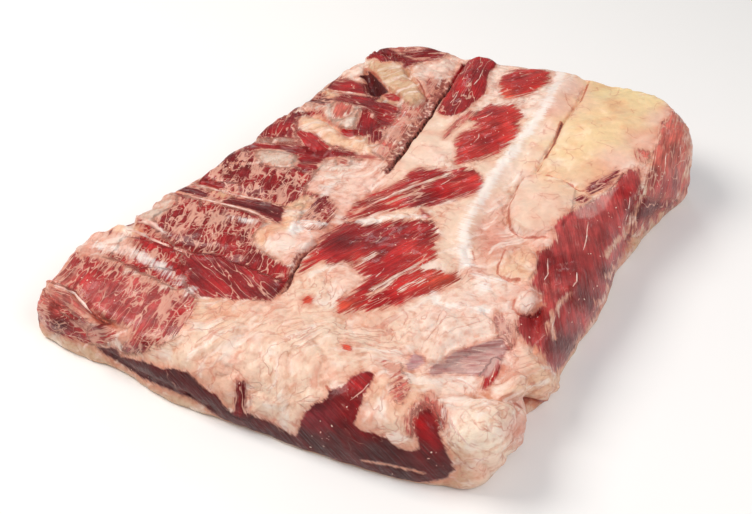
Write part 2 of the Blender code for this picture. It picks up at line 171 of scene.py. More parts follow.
# Heights of the rib side, as (x, y, height).
HEIGHT_STATIONS = (
    (-160, -150, BREASTBONE_HEIGHT - 1), (-140, -60, BREASTBONE_HEIGHT), (-122, 20, BREASTBONE_HEIGHT),
    (-105, 110, BREASTBONE_HEIGHT + 1), (-80, 180, BREASTBONE_HEIGHT + 2), (-100, -130, 41), (-80, -50, 42),
    (-65, 40, 43), (-50, 140, 44), (-60, -175, FRONT_HEIGHT), (-140, -182, 33), (-20, -150, 45),
    (10, -60, RIB_SIDE_HEIGHT), (20, 50, RIB_SIDE_HEIGHT), (20, 170, RIB_SIDE_HEIGHT), (60, -170, 44),
    (70, -90, 47), (60, 60, 48), (65, 180, 47), (100, -60, 48), (120, -150, 45), (135, -60, 49),
    (120, 20, 54), (120, 110, BLOCK_HEIGHT - 1), (150, 140, BLOCK_HEIGHT + 1), (108, 172, BLOCK_HEIGHT + 1),
)
STATION_REACH = 34.0

# The seam round the block of yellow fat, from the back: a cleft, and a ledge when walked the other way.
BLOCK_SEAM = ((85, 210), (87, 165), (84, 130), (84, 95), (83, 60), (77, 48), (76, 12), (80, 1), (88, -10),
              (100, -14), (112, -11))

# Clefts, ridges and ledges on the plan: (path, depth or height, half-width or reach).
CLEFTS = (
    (((-17, 210), (-16.5, 180), (-15.5, 150), (-15, 100), (-15, 50), (-15, 17)), 4.6, 1.5),
    (((-21, 205), (-20, 150), (-20, 90), (-20, 30)), 3.0, 6.0),
    (((-15, 17), (-20, -20), (-27, -62)), 3.0, 7.0),
    (((-27, -72), (-28.5, -85), (-30, -94), (-29, -106), (-26.5, -118), (-27, -132)), 4.6, 1.6),
    (((-150, -179), (-140, -184), (-128, -190), (-116, -194), (-106, -196)), 7.0, 2.6),
    (BLOCK_SEAM, 3.4, 1.8), (((83, 56), (96, 55), (108, 54), (119, 48)), 1.6, 1.8),
    (((91, -40), (92, -50), (98, -58), (104, -60)), 2.0, 1.6),
    (((110, -80), (112, -86), (117, -89), (123, -87), (127, -80), (128, -75)), 2.6, 2.0),
    (((-160, -104), (-140, -108), (-118, -113), (-100, -113), (-72, -106)), 4.5, 4.5),
    (((-150, -45), (-128, -44), (-108, -45), (-78, -44)), 3.5, 5.0),
    (((-128, 14), (-108, 15), (-84, 17), (-58, 25)), 3.5, 5.0),
    (((-112, 74), (-96, 66), (-80, 60), (-66, 54), (-52, 50)), 4.0, 4.0),
    (((-86, 142), (-76, 126), (-62, 112), (-48, 114)), 5.0, 4.5),
    (((-56, 154), (-45, 138), (-34, 130), (-25, 119)), 4.0, 2.6),
    (((-28, -140), (-29, -170), (-26, -205)), 2.4, 5.0), (((-12, -206), (-6, -216), (2, -224)), 2.6, 3.0),
    (((-160, -203), (-150, -211), (-135, -215), (-115, -215.5), (-98, -218), (-80, -222.5), (-60, -227.5),
        (-40, -229), (-15, -235), (5, -241), (25, -248), (45, -253), (62, -254.5), (78, -252.5),
        (95, -245)), 1.4, 2.0),
    (((73, -118), (76, -134), (74, -160)), 3.0, 4.0),
    (((112, -162), (128, -160), (140, -158), (152, -156)), 6.0, 4.5),
    (((138, -160), (141, -178), (141, -200)), 4.0, 3.0),
    (((116, -118), (124, -128), (122, -150)), 3.0, 4.0),
    (((118, -20), (122, -50), (126, -72), (131, -100), (137, -120)), 4.0, 5.0),
    (((158, 62), (160, 30), (164, 8), (164, -10)), 3.5, 3.5),
)
RIDGES = (
    (((76, 208), (68, 160), (63, 120), (60, 80), (57, 40), (57, 0), (59, -25), (66, -46), (74, -60)), 3.2,
        5.5),
    (((73, 205), (74, 160), (74, 110), (73, 60)), 2.5, 9.0),
    (((-164, -112), (-140, -114), (-118, -118), (-102, -120), (-82, -115), (-62, -106)), 2.4, 3.2),
    (((-156, -100), (-140, -101), (-124, -106)), 3.0, 2.8),
    (((-140, -62), (-120, -64), (-100, -64), (-74, -62), (-60, -68)), 1.8, 3.0),
    (((-122, -52), (-112, -54), (-100, -51), (-70, -47)), 2.2, 2.8),
    (((-122, 17), (-110, 21), (-98, 25), (-88, 27)), 2.2, 3.2),
    (((-166, -180), (-150, -181), (-140, -187), (-126, -195), (-112, -201)), 4.5, 5.0),
    (((25, 33), (12, 12), (-2, -12), (-14, -34)), 1.4, 2.0),
    (((42, -72), (34, -86), (27, -98), (24, -108)), 1.4, 2.0),
    (((-8, -44), (6, -34), (20, -26), (32, -18)), 1.8, 4.0),
    (((138, -32), (141, -50), (134, -66), (134, -92), (140, -114)), 3.5, 4.0),
    (((78, -98), (96, -100), (110, -108)), 1.6, 4.0),
    (((84, -64), (98, -64), (112, -62), (122, -68)), 2.2, 4.0),
    (((100, -172), (110, -190), (124, -206), (134, -214)), 2.5, 4.0),
)
LEDGES = (
    (BLOCK_SEAM[::-1], -4.5, 34.0), (((112, -61), (98, -58), (92, -50), (91, -38)), -3.0, 16.0),
    (((116, -112), (110, -120), (95, -131), (88, -146), (78, -150)), -3.5, 22.0),
    (((-90, 158), (-80, 161), (-68, 164), (-57, 154), (-45, 138), (-30, 123)), 4.5, 20.0),
    (((-36, 106), (-46, 113), (-60, 122), (-75, 136), (-86, 147)), 3.5, 14.0),
)

# Bulges and hollows: (x, y, half-width across, half-width along, height).
BULGES = (
    (128, -184, 17, 22, 9), (141, -138, 12, 14, 8), (118, -76, 9, 10, 4), (-112, -197, 6, 5, 3.5),
    (-98, -202, 6, 5, 2.5), (-86, -199, 8, 8, 3.5), (-110, -80, 34, 22, 3.0), (-96, -12, 30, 22, 3.0),
    (-88, 42, 26, 16, 2.5), (-78, 82, 26, 18, 3.0), (-62, 182, 28, 12, 2.0), (-130, -150, 36, 26, 3.0),
    (-52, -88, 20, 20, 3.5), (-60, -4, 20, 22, 2.0), (0, 160, 11, 46, 3.5), (30, -82, 44, 36, 2.5),
    (30, 5, 34, 28, 2.0), (36, 92, 22, 40, 2.5), (38, 175, 16, 24, 2.0), (-60, -180, 34, 28, 3.5),
    (10, -168, 34, 34, 3.5), (78, -190, 22, 22, 3.5), (84, -118, 26, 18, 3.0), (98, 24, 20, 30, 2.0),
    (124, 130, 34, 50, 2.0), (102, -130, 14, 18, -4.0), (72, -24, 10, 40, -2.5), (172, 84, 12, 24, 3.0),
)

# How much of a lobule lies under the mean surface, and how dark the painted shade in its creases is.
LOBULE_LEVEL = 0.6
LOBULE_CREASE_SHADE = 0.55

# Lobules of fat and the unevenness of cut meat, as (scale, height, seed).
LOBULES = ((21.0, 2.1, 3), (10.0, 1.1, 11), (5.0, 0.45, 31))
UNEVENNESS = ((52.0, 2.0, 21), (21.0, 1.1, 22), (10.0, 0.6, 23))
RELIEF_STARTS = 2.0
RELIEF_FULL = 9.0

# The ragged lower edge of the fat cap, as (scale, height, seed), and the level up to which it shows.
FRILL = ((30.0, 1.2, 41), (11.0, 0.9, 42), (5.0, 0.4, 43))
FRILL_TOP = 16.0

# Outlines that several tables use: a torn flap of fat, a white sheet of tendon, and two purple films.
TORN_FLAP = ((-90, 157), (-88, 163), (-83, 161), (-78, 159), (-74, 163), (-66, 164.5), (-62, 162),
             (-58, 157), (-50, 148), (-45, 140), (-41, 137), (-36, 134), (-30, 128), (-24, 121), (-25, 112),
             (-30, 105), (-34, 104), (-38, 107), (-42, 112), (-50, 117), (-58, 121), (-62, 124), (-70, 131),
             (-78, 138), (-84, 143), (-86, 150), (-92, 153))
WHITE_SHEET = ((-52, -62), (-44, -58), (-36, -54), (-30, -55), (-32, -62), (-41, -66), (-46, -74),
               (-51, -71))
PURPLE_SHEET = ((105, -122), (100, -128), (92, -136), (89, -142), (90, -146), (84, -150), (83, -156),
                (87, -159), (92, -154), (105, -150), (117, -147), (119, -138), (120, -122), (114, -114))
SMALL_SHEET = ((70, -146), (75, -147), (79, -151), (76, -157), (72, -161), (69, -156))

# Patches of lean between the ribs, on the breastbone side, on the right wall and low on the front.
MUSCLES = (
    # Between the ribs, front to back.
    Muscle(((-22, -55), (-19, -48), (-12, -44), (-6, -46), (0, -41), (6, -37), (14, -32), (24, -27),
        (32, -23), (37, -25), (41, -31), (45, -37), (43, -45), (48, -52), (50, -59), (46, -66), (42, -73),
        (49, -75), (56, -70), (63, -72), (69, -68), (73, -74), (69, -82), (61, -91), (54, -97), (49, -104),
        (46, -111), (38, -118), (28, -124), (19, -130), (12, -131), (9, -122), (15, -113), (16, -102),
        (19, -95), (11, -92), (4, -87), (-3, -88), (-9, -93), (-17, -88), (-21, -100), (-24, -108),
        (-28, -98), (-28, -72)), Lean.RED, 62, 4.5, 0.10),
    Muscle(((-22, -46), (-20, -24), (-13, -10), (-6, 0), (-1, 14), (1, 24), (5, 31), (12, 32), (20, 36),
        (27, 34), (28, 40), (32, 44), (41, 43), (48, 39), (52, 33), (53, 25), (50, 16), (44, 9), (37, 0),
        (30, -7), (20, -12), (12, -17), (4, -24), (-6, -34), (-15, -43)), Lean.RED, 54, 4.0, 0.14),
    Muscle(((26, 45), (32, 50), (39, 56), (46, 63), (51, 72), (54, 86), (57, 98), (55, 106), (52, 116),
        (53, 126), (48, 132), (41, 138), (35, 135), (24, 131), (20, 121), (14, 106), (21, 103), (24, 98),
        (21, 91), (16, 82), (17, 72), (22, 63), (24, 54)), Lean.BRIGHT, 58, 4.0, 0.08),
    Muscle(((21, 178), (25, 187), (31, 193), (40, 199), (52, 201), (54, 191), (58, 184), (55, 177),
        (51, 171), (50, 162), (46, 156), (40, 150), (33, 144), (27, 149), (24, 158), (21, 168)),
        Lean.BRIGHT, 48, 3.2, 0.10),
    Muscle(((-17, 184), (-15, 194), (-9, 200), (3, 200), (9, 195), (10, 186), (8, 178), (10, 168),
        (13, 158), (15, 148), (14, 137), (11, 128), (9, 114), (3, 105), (-5, 103), (-11, 106), (-12, 118),
        (-13, 134), (-15, 150), (-17, 166)), Lean.RED, 96, 1.3, 0.16),
    Muscle(((22, -14), (28, -16), (32, -19), (31, -25), (26, -21)), Lean.ROSE, 30, 1.5, 0.0),
    Muscle(((13, 119), (16, 117), (13, 100), (10, 86), (8, 73), (6, 77), (7, 91), (9, 105)), Lean.ROSE, 80,
        1.6, 0.3),
    # The breastbone side, front to back.
    Muscle(((-170, -147), (-160, -148), (-148, -146), (-136, -146), (-124, -149), (-110, -151), (-97, -154),
        (-88, -156), (-82, -151), (-76, -150), (-72, -158), (-69, -170), (-69, -186), (-72, -197),
        (-79, -208), (-88, -213), (-92, -208), (-90, -200), (-95, -193), (-108, -192), (-118, -192),
        (-129, -190), (-138, -184), (-145, -180), (-158, -178), (-169, -176)), Lean.WALL, 97, 5.0, 0.42),
    Muscle(((-146, -122), (-132, -120), (-116, -121), (-101, -122), (-95, -127), (-104, -135), (-112, -134),
        (-120, -140), (-132, -141), (-143, -138)), Lean.RED, 99, 4.0, 0.52),
    Muscle(((-101, -121), (-94, -130), (-88, -138), (-84, -144), (-79, -148), (-72, -152), (-66, -151),
        (-61, -148), (-50, -147), (-42, -141), (-36, -137), (-29, -136), (-27, -124), (-29, -114),
        (-36, -110), (-50, -106), (-64, -104), (-80, -108)), Lean.DEEP, 150, 1.6, 0.22),
    Muscle(((-137, -66), (-126, -64), (-112, -64), (-100, -63), (-86, -63), (-77, -65), (-72, -72),
        (-74, -84), (-67, -92), (-60, -98), (-50, -103), (-38, -104), (-31, -106), (-30, -116), (-60, -112),
        (-80, -110), (-100, -113), (-112, -112), (-122, -108), (-131, -101), (-139, -93), (-135, -84),
        (-131, -75)), Lean.DEEP, 102, 2.6, 0.44),
    Muscle(((-146, -58), (-139, -55), (-128, -53), (-119, -58), (-110, -59), (-102, -54), (-88, -50),
        (-72, -49), (-64, -50), (-61, -58), (-57, -66), (-65, -68), (-76, -62), (-92, -61), (-110, -60),
        (-130, -61), (-145, -64)), Lean.DARK, 178, 1.6, 0.15, -0.8),
    Muscle(((-141, -49), (-128, -43), (-118, -41), (-108, -46), (-118, -48), (-130, -48)), Lean.RED, 10,
        1.2, 0.0),
    Muscle(((-137, -42), (-131, -28), (-133, -12), (-133, -3), (-128, 2), (-117, 2), (-113, -4), (-106, -9),
        (-98, -13), (-88, -12), (-80, -7), (-76, 1), (-68, 2), (-65, -5), (-66, -18), (-62, -28),
        (-57, -38), (-62, -45), (-76, -45), (-92, -46), (-106, -46), (-112, -40), (-122, -38)), Lean.DEEP,
        100, 2.2, 0.50),
    Muscle(((-50, -30), (-42, -27), (-33, -34), (-29, -46), (-30, -58), (-36, -64), (-44, -62), (-48, -52),
        (-50, -42)), Lean.DEEP, 80, 4.0, 0.85),
    Muscle(((-126, 5), (-118, 12), (-108, 14), (-98, 19), (-85, 21), (-72, 22), (-62, 26), (-50, 30),
        (-46, 27), (-57, 21), (-64, 17), (-65, 10), (-65, 1), (-70, -4), (-79, 0), (-81, 6), (-77, 12),
        (-90, 13), (-100, 12), (-112, 9), (-122, 3)), Lean.DEEP, 15, 1.4, 0.10, -1.4),
    Muscle(((-46, 26), (-38, 31), (-30, 32), (-27, 29), (-36, 26)), Lean.ROSE, 15, 1.5, 0.0),
    Muscle(((-54, 19), (-48, 20), (-46, 15), (-51, 13)), Lean.ROSE, 0, 2.0, 0.2),
    Muscle(((-97, 40), (-90, 42), (-83, 41), (-77, 36), (-72, 31), (-66, 27), (-75, 22), (-84, 24),
        (-89, 31), (-96, 36)), Lean.RED, 150, 1.8, 0.12),
    Muscle(((-124, 21), (-124, 36), (-118, 41), (-113, 50), (-114, 60), (-114, 73), (-110, 71), (-105, 66),
        (-109, 57), (-107, 48), (-102, 38), (-98, 29), (-106, 28), (-116, 23)), Lean.DEEP, 105, 2.2, 0.22),
    Muscle(((-69, 55), (-62, 57), (-56, 57), (-54, 51), (-60, 47), (-67, 49)), Lean.BLOOD, 0, 1.6, 0.0),
    Muscle(((-91, 96), (-83, 101), (-72, 104), (-60, 104), (-50, 100), (-42, 99), (-40, 88), (-38, 78),
        (-42, 74), (-49, 78), (-53, 86), (-62, 91), (-76, 91), (-89, 91)), Lean.DEEP, 172, 1.8, 0.12, -1.0),
    Muscle(((-64, 83), (-56, 82), (-50, 74), (-45, 62), (-39, 63), (-36, 56), (-38, 46), (-42, 47),
        (-46, 57), (-49, 52), (-55, 55), (-60, 66)), Lean.DEEP, 112, 1.8, 0.16, -1.2),
    Muscle(((-88, 88), (-75, 88), (-72, 80), (-75, 71), (-80, 67), (-85, 75)), Lean.ROSE, 100, 3.0, 0.0),
    Muscle(((-104, 114), (-98, 118), (-88, 121), (-76, 122), (-68, 107), (-80, 105), (-92, 102),
        (-103, 104)), Lean.DEEP, 12, 1.4, 0.10),
    Muscle(((-86, 143), (-81, 136), (-89, 131), (-80, 127), (-76, 121), (-68, 107), (-60, 107), (-56, 118),
        (-62, 124), (-70, 131), (-78, 139)), Lean.MAROON, 120, 0.8, 0.05, -2.6),
    Muscle(((-58, 112), (-50, 119), (-44, 114), (-42, 108), (-52, 106)), Lean.RED, 20, 1.5, 0.25),
    Muscle(((-112, 82), (-100, 79), (-92, 86), (-94, 94), (-99, 90), (-105, 84)), Lean.DARK, 30, 2.0, 0.3,
        -1.0),
    Muscle(((-93, 168), (-90, 177), (-84, 183), (-76, 180), (-70, 174), (-62, 166), (-68, 164), (-75, 161),
        (-80, 159), (-87, 163), (-93, 158)), Lean.DEEP, 128, 1.6, 0.25),
    Muscle(((-72, 176), (-62, 186), (-56, 192), (-47, 195), (-39, 196), (-35, 188), (-42, 181), (-50, 178),
        (-54, 170), (-58, 157), (-62, 164), (-66, 169)), Lean.DEEP, 28, 2.2, 0.30),
    Muscle(((-84, 184), (-74, 189), (-62, 195), (-52, 197), (-58, 191), (-68, 184), (-76, 181)), Lean.ROSE,
        28, 2.5, 0.75),
    # The lean wall on the right, its torn islands, and the cut end of the block.
    Muscle(((146, 88), (151, 91), (155, 78), (158, 62), (161, 42), (162, 20), (164, 0), (163, -20),
        (162, -40), (162, -62), (161, -80), (158, -98), (156, -116), (151, -128), (143, -121), (137, -113),
        (128, -112), (120, -103), (117, -95), (118, -90), (124, -86), (129, -76), (123, -66), (116, -60),
        (115, -50), (113, -38), (111, -27), (117, -20), (118, -9), (113, 1), (113, 10), (117, 18),
        (124, 30), (131, 43), (137, 55), (140, 68), (141, 80)), Lean.WALL, 112, 2.6, 0.05),
    Muscle(((122, 52), (124, 61), (129, 69), (134, 77), (136, 86), (139, 80), (137, 68), (135, 60),
        (130, 52), (126, 48)), Lean.PURPLE, 60, 3.0, 0.30),
    Muscle(((118, 38), (122, 44), (127, 43), (124, 36)), Lean.PURPLE, 60, 3.0, 0.30),
    Muscle(((144, 116), (152, 116), (156, 108), (153, 101), (146, 104)), Lean.ROSE, 110, 4.0, 0.45),
    Muscle(((158, 176), (166, 172), (173, 152), (179, 128), (186, 100), (189, 88), (185, 62), (178, 40),
        (166, 14), (161, 30), (160, 60), (159, 90), (157, 120), (154, 150)), Lean.ROSE, 96, 8.0, 0.12),
    Muscle(((160, 58), (170, 56), (182, 62), (180, 54), (170, 48), (164, 30), (162, 16), (160, 30)),
        Lean.DARK, 100, 3.0, 0.30),
    Muscle(((104, -93), (110, -98), (118, -104), (122, -116), (120, -124), (112, -112), (105, -102)),
        Lean.ROSE, 110, 3.0, 0.55),
    # The front: the lean that shows between the fat lobes, and the dark band above the fat cap.
    Muscle(((43, -180), (47, -173), (51, -170), (55, -170), (56, -178), (56, -188), (58, -200), (60, -210),
        (65, -213), (72, -212), (80, -212), (88, -216), (95, -216), (99, -213), (95, -204), (91, -196),
        (90, -188), (94, -183), (99, -190), (104, -197), (110, -204), (116, -212), (122, -219), (120, -226),
        (106, -236), (90, -246), (76, -252), (60, -254), (40, -252), (20, -247), (0, -240), (-15, -234),
        (-30, -229), (-45, -228), (-60, -227), (-72, -225), (-85, -221), (-98, -218), (-106, -215),
        (-98, -212), (-95, -211), (-88, -216), (-75, -214), (-60, -215), (-54, -212), (-46, -212),
        (-40, -214), (-30, -219), (-20, -221), (-14, -226), (-8, -229), (0, -226), (15, -227), (30, -230),
        (34, -231), (32, -222), (31, -213), (33, -205), (38, -200), (36, -193), (41, -189), (43, -184)),
        Lean.MAROON, 150, 1.2, 0.05),
    Muscle(((-165, -188), (-158, -189), (-152, -196), (-145, -201), (-132, -204), (-122, -208),
        (-112, -212), (-113, -215), (-125, -214), (-140, -215), (-151, -210), (-159, -203), (-164, -196)),
        Lean.RED, 165, 1.6, 0.40),
    Muscle(((-165, -180), (-148, -181), (-140, -187), (-130, -192), (-128, -195), (-140, -191),
        (-152, -189), (-161, -186)), Lean.ROSE, 165, 1.6, 0.35),
    Muscle(((-118, -196), (-110, -195), (-104, -199), (-100, -206), (-108, -211), (-116, -206)), Lean.RED,
        40, 3.0, 0.55),
    Muscle(((-16, -206), (-12, -205), (-7, -212), (-3, -219), (2, -229), (-6, -228), (-10, -219)),
        Lean.DARK, 120, 1.6, 0.25, -1.6),
    # Lean behind the purple film, and the red strip beside it.
    Muscle(PURPLE_SHEET, Lean.PURPLE, 24, 1.2, 0.10), Muscle(SMALL_SHEET, Lean.FILM, 20, 1.5, 0.1),
    Muscle(((117, -133), (121, -135), (121, -145), (119, -158), (116, -157), (115, -148)), Lean.RED, 95,
        1.5, 0.15),
    # Blood spots in the fat.
    Muscle(((-10, -125), (-6, -125), (-5, -131), (-9, -133), (-12, -129)), Lean.ORANGE, 60, 1.5, 0.2),
    Muscle(((28, -154), (33, -154), (34, -159), (30, -160)), Lean.ORANGE, 0, 1.5, 0.2),
)

# Stretches where lean and fat run through each other, under the patches above.
MINGLED = (
    Muscle(((-166, -184), (-150, -186), (-138, -192), (-124, -198), (-108, -204), (-100, -212),
        (-116, -214), (-140, -212), (-158, -204)), Lean.RED, 165, 3.0, 0.62),
    Muscle(((86, -180), (84, -196), (90, -206), (100, -206), (106, -196), (104, -184), (98, -176),
        (90, -172)), Lean.ROSE, 108, 3.0, 0.70),
    Muscle(((56, -160), (66, -168), (70, -182), (78, -186), (76, -170), (66, -158)), Lean.ROSE, 60, 4.0,
        1.3),
    Muscle(((-180, -126), (-150, -141), (-120, -147), (-84, -152), (-60, -148), (-30, -138), (-26, -112),
        (-38, -104), (-58, -98), (-66, -94), (-72, -80), (-64, -66), (-60, -46), (-48, -60), (-34, -56),
        (-30, -44), (-42, -28), (-60, -26), (-62, 0), (-42, 8), (-38, 22), (-46, 30), (-72, 34), (-98, 42),
        (-106, 56), (-92, 68), (-80, 60), (-64, 54), (-50, 50), (-42, 46), (-34, 52), (-36, 70), (-36, 98),
        (-56, 106), (-68, 107), (-88, 122), (-106, 126), (-128, 60), (-134, 20), (-150, -20), (-164, -60),
        (-168, -100)), Lean.RED, 98, 3.0, 0.55),
    Muscle(((-100, 156), (-90, 164), (-66, 164), (-58, 157), (-50, 171), (-38, 180), (-33, 196), (-60, 208),
        (-92, 196), (-100, 170)), Lean.RED, 30, 3.0, 0.50),
    Muscle(((-38, 104), (-38, 60), (-34, 36), (-24, 30), (-22, 100), (-24, 150), (-32, 150)), Lean.ROSE, 92,
        4.0, 0.95),
    Muscle(((-52, -118), (-30, -112), (-27, -130), (-40, -140), (-60, -146), (-66, -130)), Lean.RED, 150,
        3.0, 0.45),
)

# Lobes and sheets of fat, tendon and gristle that lie over the lean, as (outline, colour).
FAT_LOBES = (
    (((-148, -64), (-140, -66), (-136, -76), (-137, -88), (-140, -100), (-154, -101)), Fat.GRISTLE),
    (((-168, -106), (-150, -104), (-136, -112), (-142, -117), (-156, -118), (-172, -118)), Fat.WARM),
    (((-124, -52), (-114, -49), (-105, -50), (-102, -53), (-108, -57), (-117, -56)), Fat.TAN),
    (((-66, -46), (-61, -38), (-57, -30), (-50, -31), (-46, -42), (-48, -55), (-49, -66), (-52, -75),
        (-58, -69), (-62, -56)), Fat.WARM),
    (((-69, -67), (-63, -67), (-57, -74), (-55, -84), (-58, -93), (-65, -89), (-70, -78)), Fat.WARM),
    (((-56, -76), (-50, -73), (-43, -75), (-39, -84), (-40, -94), (-48, -100), (-56, -96), (-59, -86)),
        Fat.PALE),
    (((-41, -66), (-33, -70), (-27, -75), (-27, -98), (-33, -104), (-41, -101), (-38, -84)), Fat.PINK),
    (WHITE_SHEET, Fat.WHITE),
    (((-116, 4), (-108, 10), (-95, 13), (-84, 10), (-79, 3), (-80, -5), (-92, -9), (-106, -8), (-112, -4)),
        Fat.GRISTLE),
    (((-62, -4), (-52, 2), (-40, 6), (-34, 16), (-42, 24), (-54, 22), (-62, 16), (-65, 6)), Fat.PALE),
    (((-106, 56), (-98, 42), (-88, 43), (-78, 38), (-70, 31), (-58, 33), (-46, 33), (-34, 34), (-33, 46),
        (-40, 44), (-46, 56), (-54, 50), (-62, 46), (-72, 52), (-82, 58), (-94, 60)), Fat.WARM),
    (((-92, 88), (-80, 91), (-68, 89), (-63, 81), (-61, 70), (-59, 60), (-64, 56), (-76, 57), (-86, 62),
        (-93, 70), (-96, 79)), Fat.GRISTLE),
    (((-112, 62), (-104, 66), (-96, 72), (-94, 84), (-102, 79), (-112, 80)), Fat.PALE),
    (((-106, 96), (-96, 90), (-91, 95), (-89, 101), (-98, 102), (-106, 104)), Fat.WARM),
    (((-104, 126), (-92, 128), (-86, 134), (-84, 144), (-88, 152), (-98, 154), (-106, 140)), Fat.PALE),
    (TORN_FLAP, Fat.TAN),
    (((-60, 101), (-48, 102), (-42, 104), (-46, 107), (-58, 107)), Fat.TAN),
    (((-125, 13), (-110, 18), (-96, 26), (-99, 29), (-112, 23), (-126, 18)), Fat.GRISTLE),
    (((-174, -122), (-160, -120), (-148, -117), (-138, -122), (-132, -130), (-140, -137), (-154, -139),
        (-168, -138)), Fat.PINK),
)

# Places inside the lean where its colour turns, as (x, y, reach, colour).
LEAN_TURNS = (
    (-12, -66, 20, Lean.DARK), (6, -52, 18, Lean.DEEP), (-26, -92, 9, Lean.BRIGHT),
    (40, -58, 13, Lean.BRIGHT), (62, -78, 13, Lean.ORANGE), (34, -108, 14, Lean.BLOOD),
    (14, -124, 9, Lean.ORANGE), (4, -80, 9, Lean.BRIGHT), (46, -95, 9, Lean.BRIGHT),
    (12, -98, 7, Lean.BRIGHT), (28, 10, 14, Lean.BLOOD), (44, 34, 9, Lean.BRIGHT),
    (0, -14, 12, Lean.BRIGHT), (-16, -34, 9, Lean.BRIGHT), (36, 22, 8, Lean.BRIGHT), (20, -2, 8, Lean.DEEP),
    (24, 100, 12, Lean.BRIGHT), (50, 104, 9, Lean.BRIGHT), (30, 56, 10, Lean.BRIGHT),
    (28, 122, 10, Lean.RED), (40, 84, 9, Lean.RED), (34, 148, 9, Lean.ORANGE), (46, 162, 9, Lean.BRIGHT),
    (34, 178, 10, Lean.RED), (6, 180, 12, Lean.DEEP), (2, 132, 12, Lean.RED), (-4, 112, 9, Lean.RED),
    (-12, 150, 8, Lean.RED), (-150, -160, 20, Lean.RED), (-165, -170, 8, Lean.ROSE),
    (-118, -182, 22, Lean.WALL), (-80, -200, 9, Lean.RED), (-74, -170, 7, Lean.RED),
    (-60, -142, 14, Lean.RED), (-118, -72, 9, Lean.BLOOD), (-80, -96, 12, Lean.RED),
    (-40, -112, 12, Lean.RED), (-68, -76, 6, Lean.ORANGE), (-124, -14, 12, Lean.DARK),
    (-66, -12, 9, Lean.RED), (-108, 36, 9, Lean.RED), (-112, 62, 9, Lean.DARK), (-45, 84, 8, Lean.BLOOD),
    (-56, 66, 8, Lean.DEEP), (-90, 112, 9, Lean.RED), (-78, 172, 9, Lean.DEEP), (126, -36, 16, Lean.DEEP),
    (128, -90, 14, Lean.DEEP), (152, -60, 12, Lean.DARK), (150, -104, 14, Lean.MAROON),
    (158, -30, 8, Lean.DARK), (148, 60, 12, Lean.RED), (150, 24, 16, Lean.WALL), (164, 40, 8, Lean.MAROON),
    (49, -182, 12, Lean.RED), (38, -214, 11, Lean.PURPLE), (56, -200, 9, Lean.DEEP),
    (105, -204, 12, Lean.DEEP), (96, -194, 7, Lean.BLOOD), (64, -216, 9, Lean.DARK),
    (-60, -220, 24, Lean.MAROON), (112, -220, 9, Lean.MAROON), (-160, -196, 12, Lean.ROSE),
    (-138, -208, 9, Lean.MAROON), (172, 150, 20, Lean.ROSE), (172, 80, 16, Lean.WALL),
    (182, 112, 18, Lean.ROSE),
)

# Places where the lean is richer or poorer in marbling, as (x, y, reach, marbling).
MARBLING_TURNS = (
    (-120, -140, 13, 0.66), (-142, -150, 11, 0.55), (-100, -166, 13, 0.52), (-128, -170, 15, 0.34),
    (-152, -170, 12, 0.26), (-96, -190, 11, 0.20), (-112, -187, 11, 0.22), (-74, -192, 8, 0.50),
    (-122, -128, 9, 0.66), (-78, -166, 8, 0.40), (-124, -82, 12, 0.54), (-100, -76, 11, 0.60),
    (-108, -98, 10, 0.34), (-84, -88, 10, 0.42), (-56, -106, 11, 0.20), (-112, -22, 12, 0.44),
    (-88, -30, 12, 0.34), (-104, -36, 8, 0.30), (-40, -44, 9, 0.75), (174, 120, 16, 0.22),
    (178, 70, 12, 0.26),
)

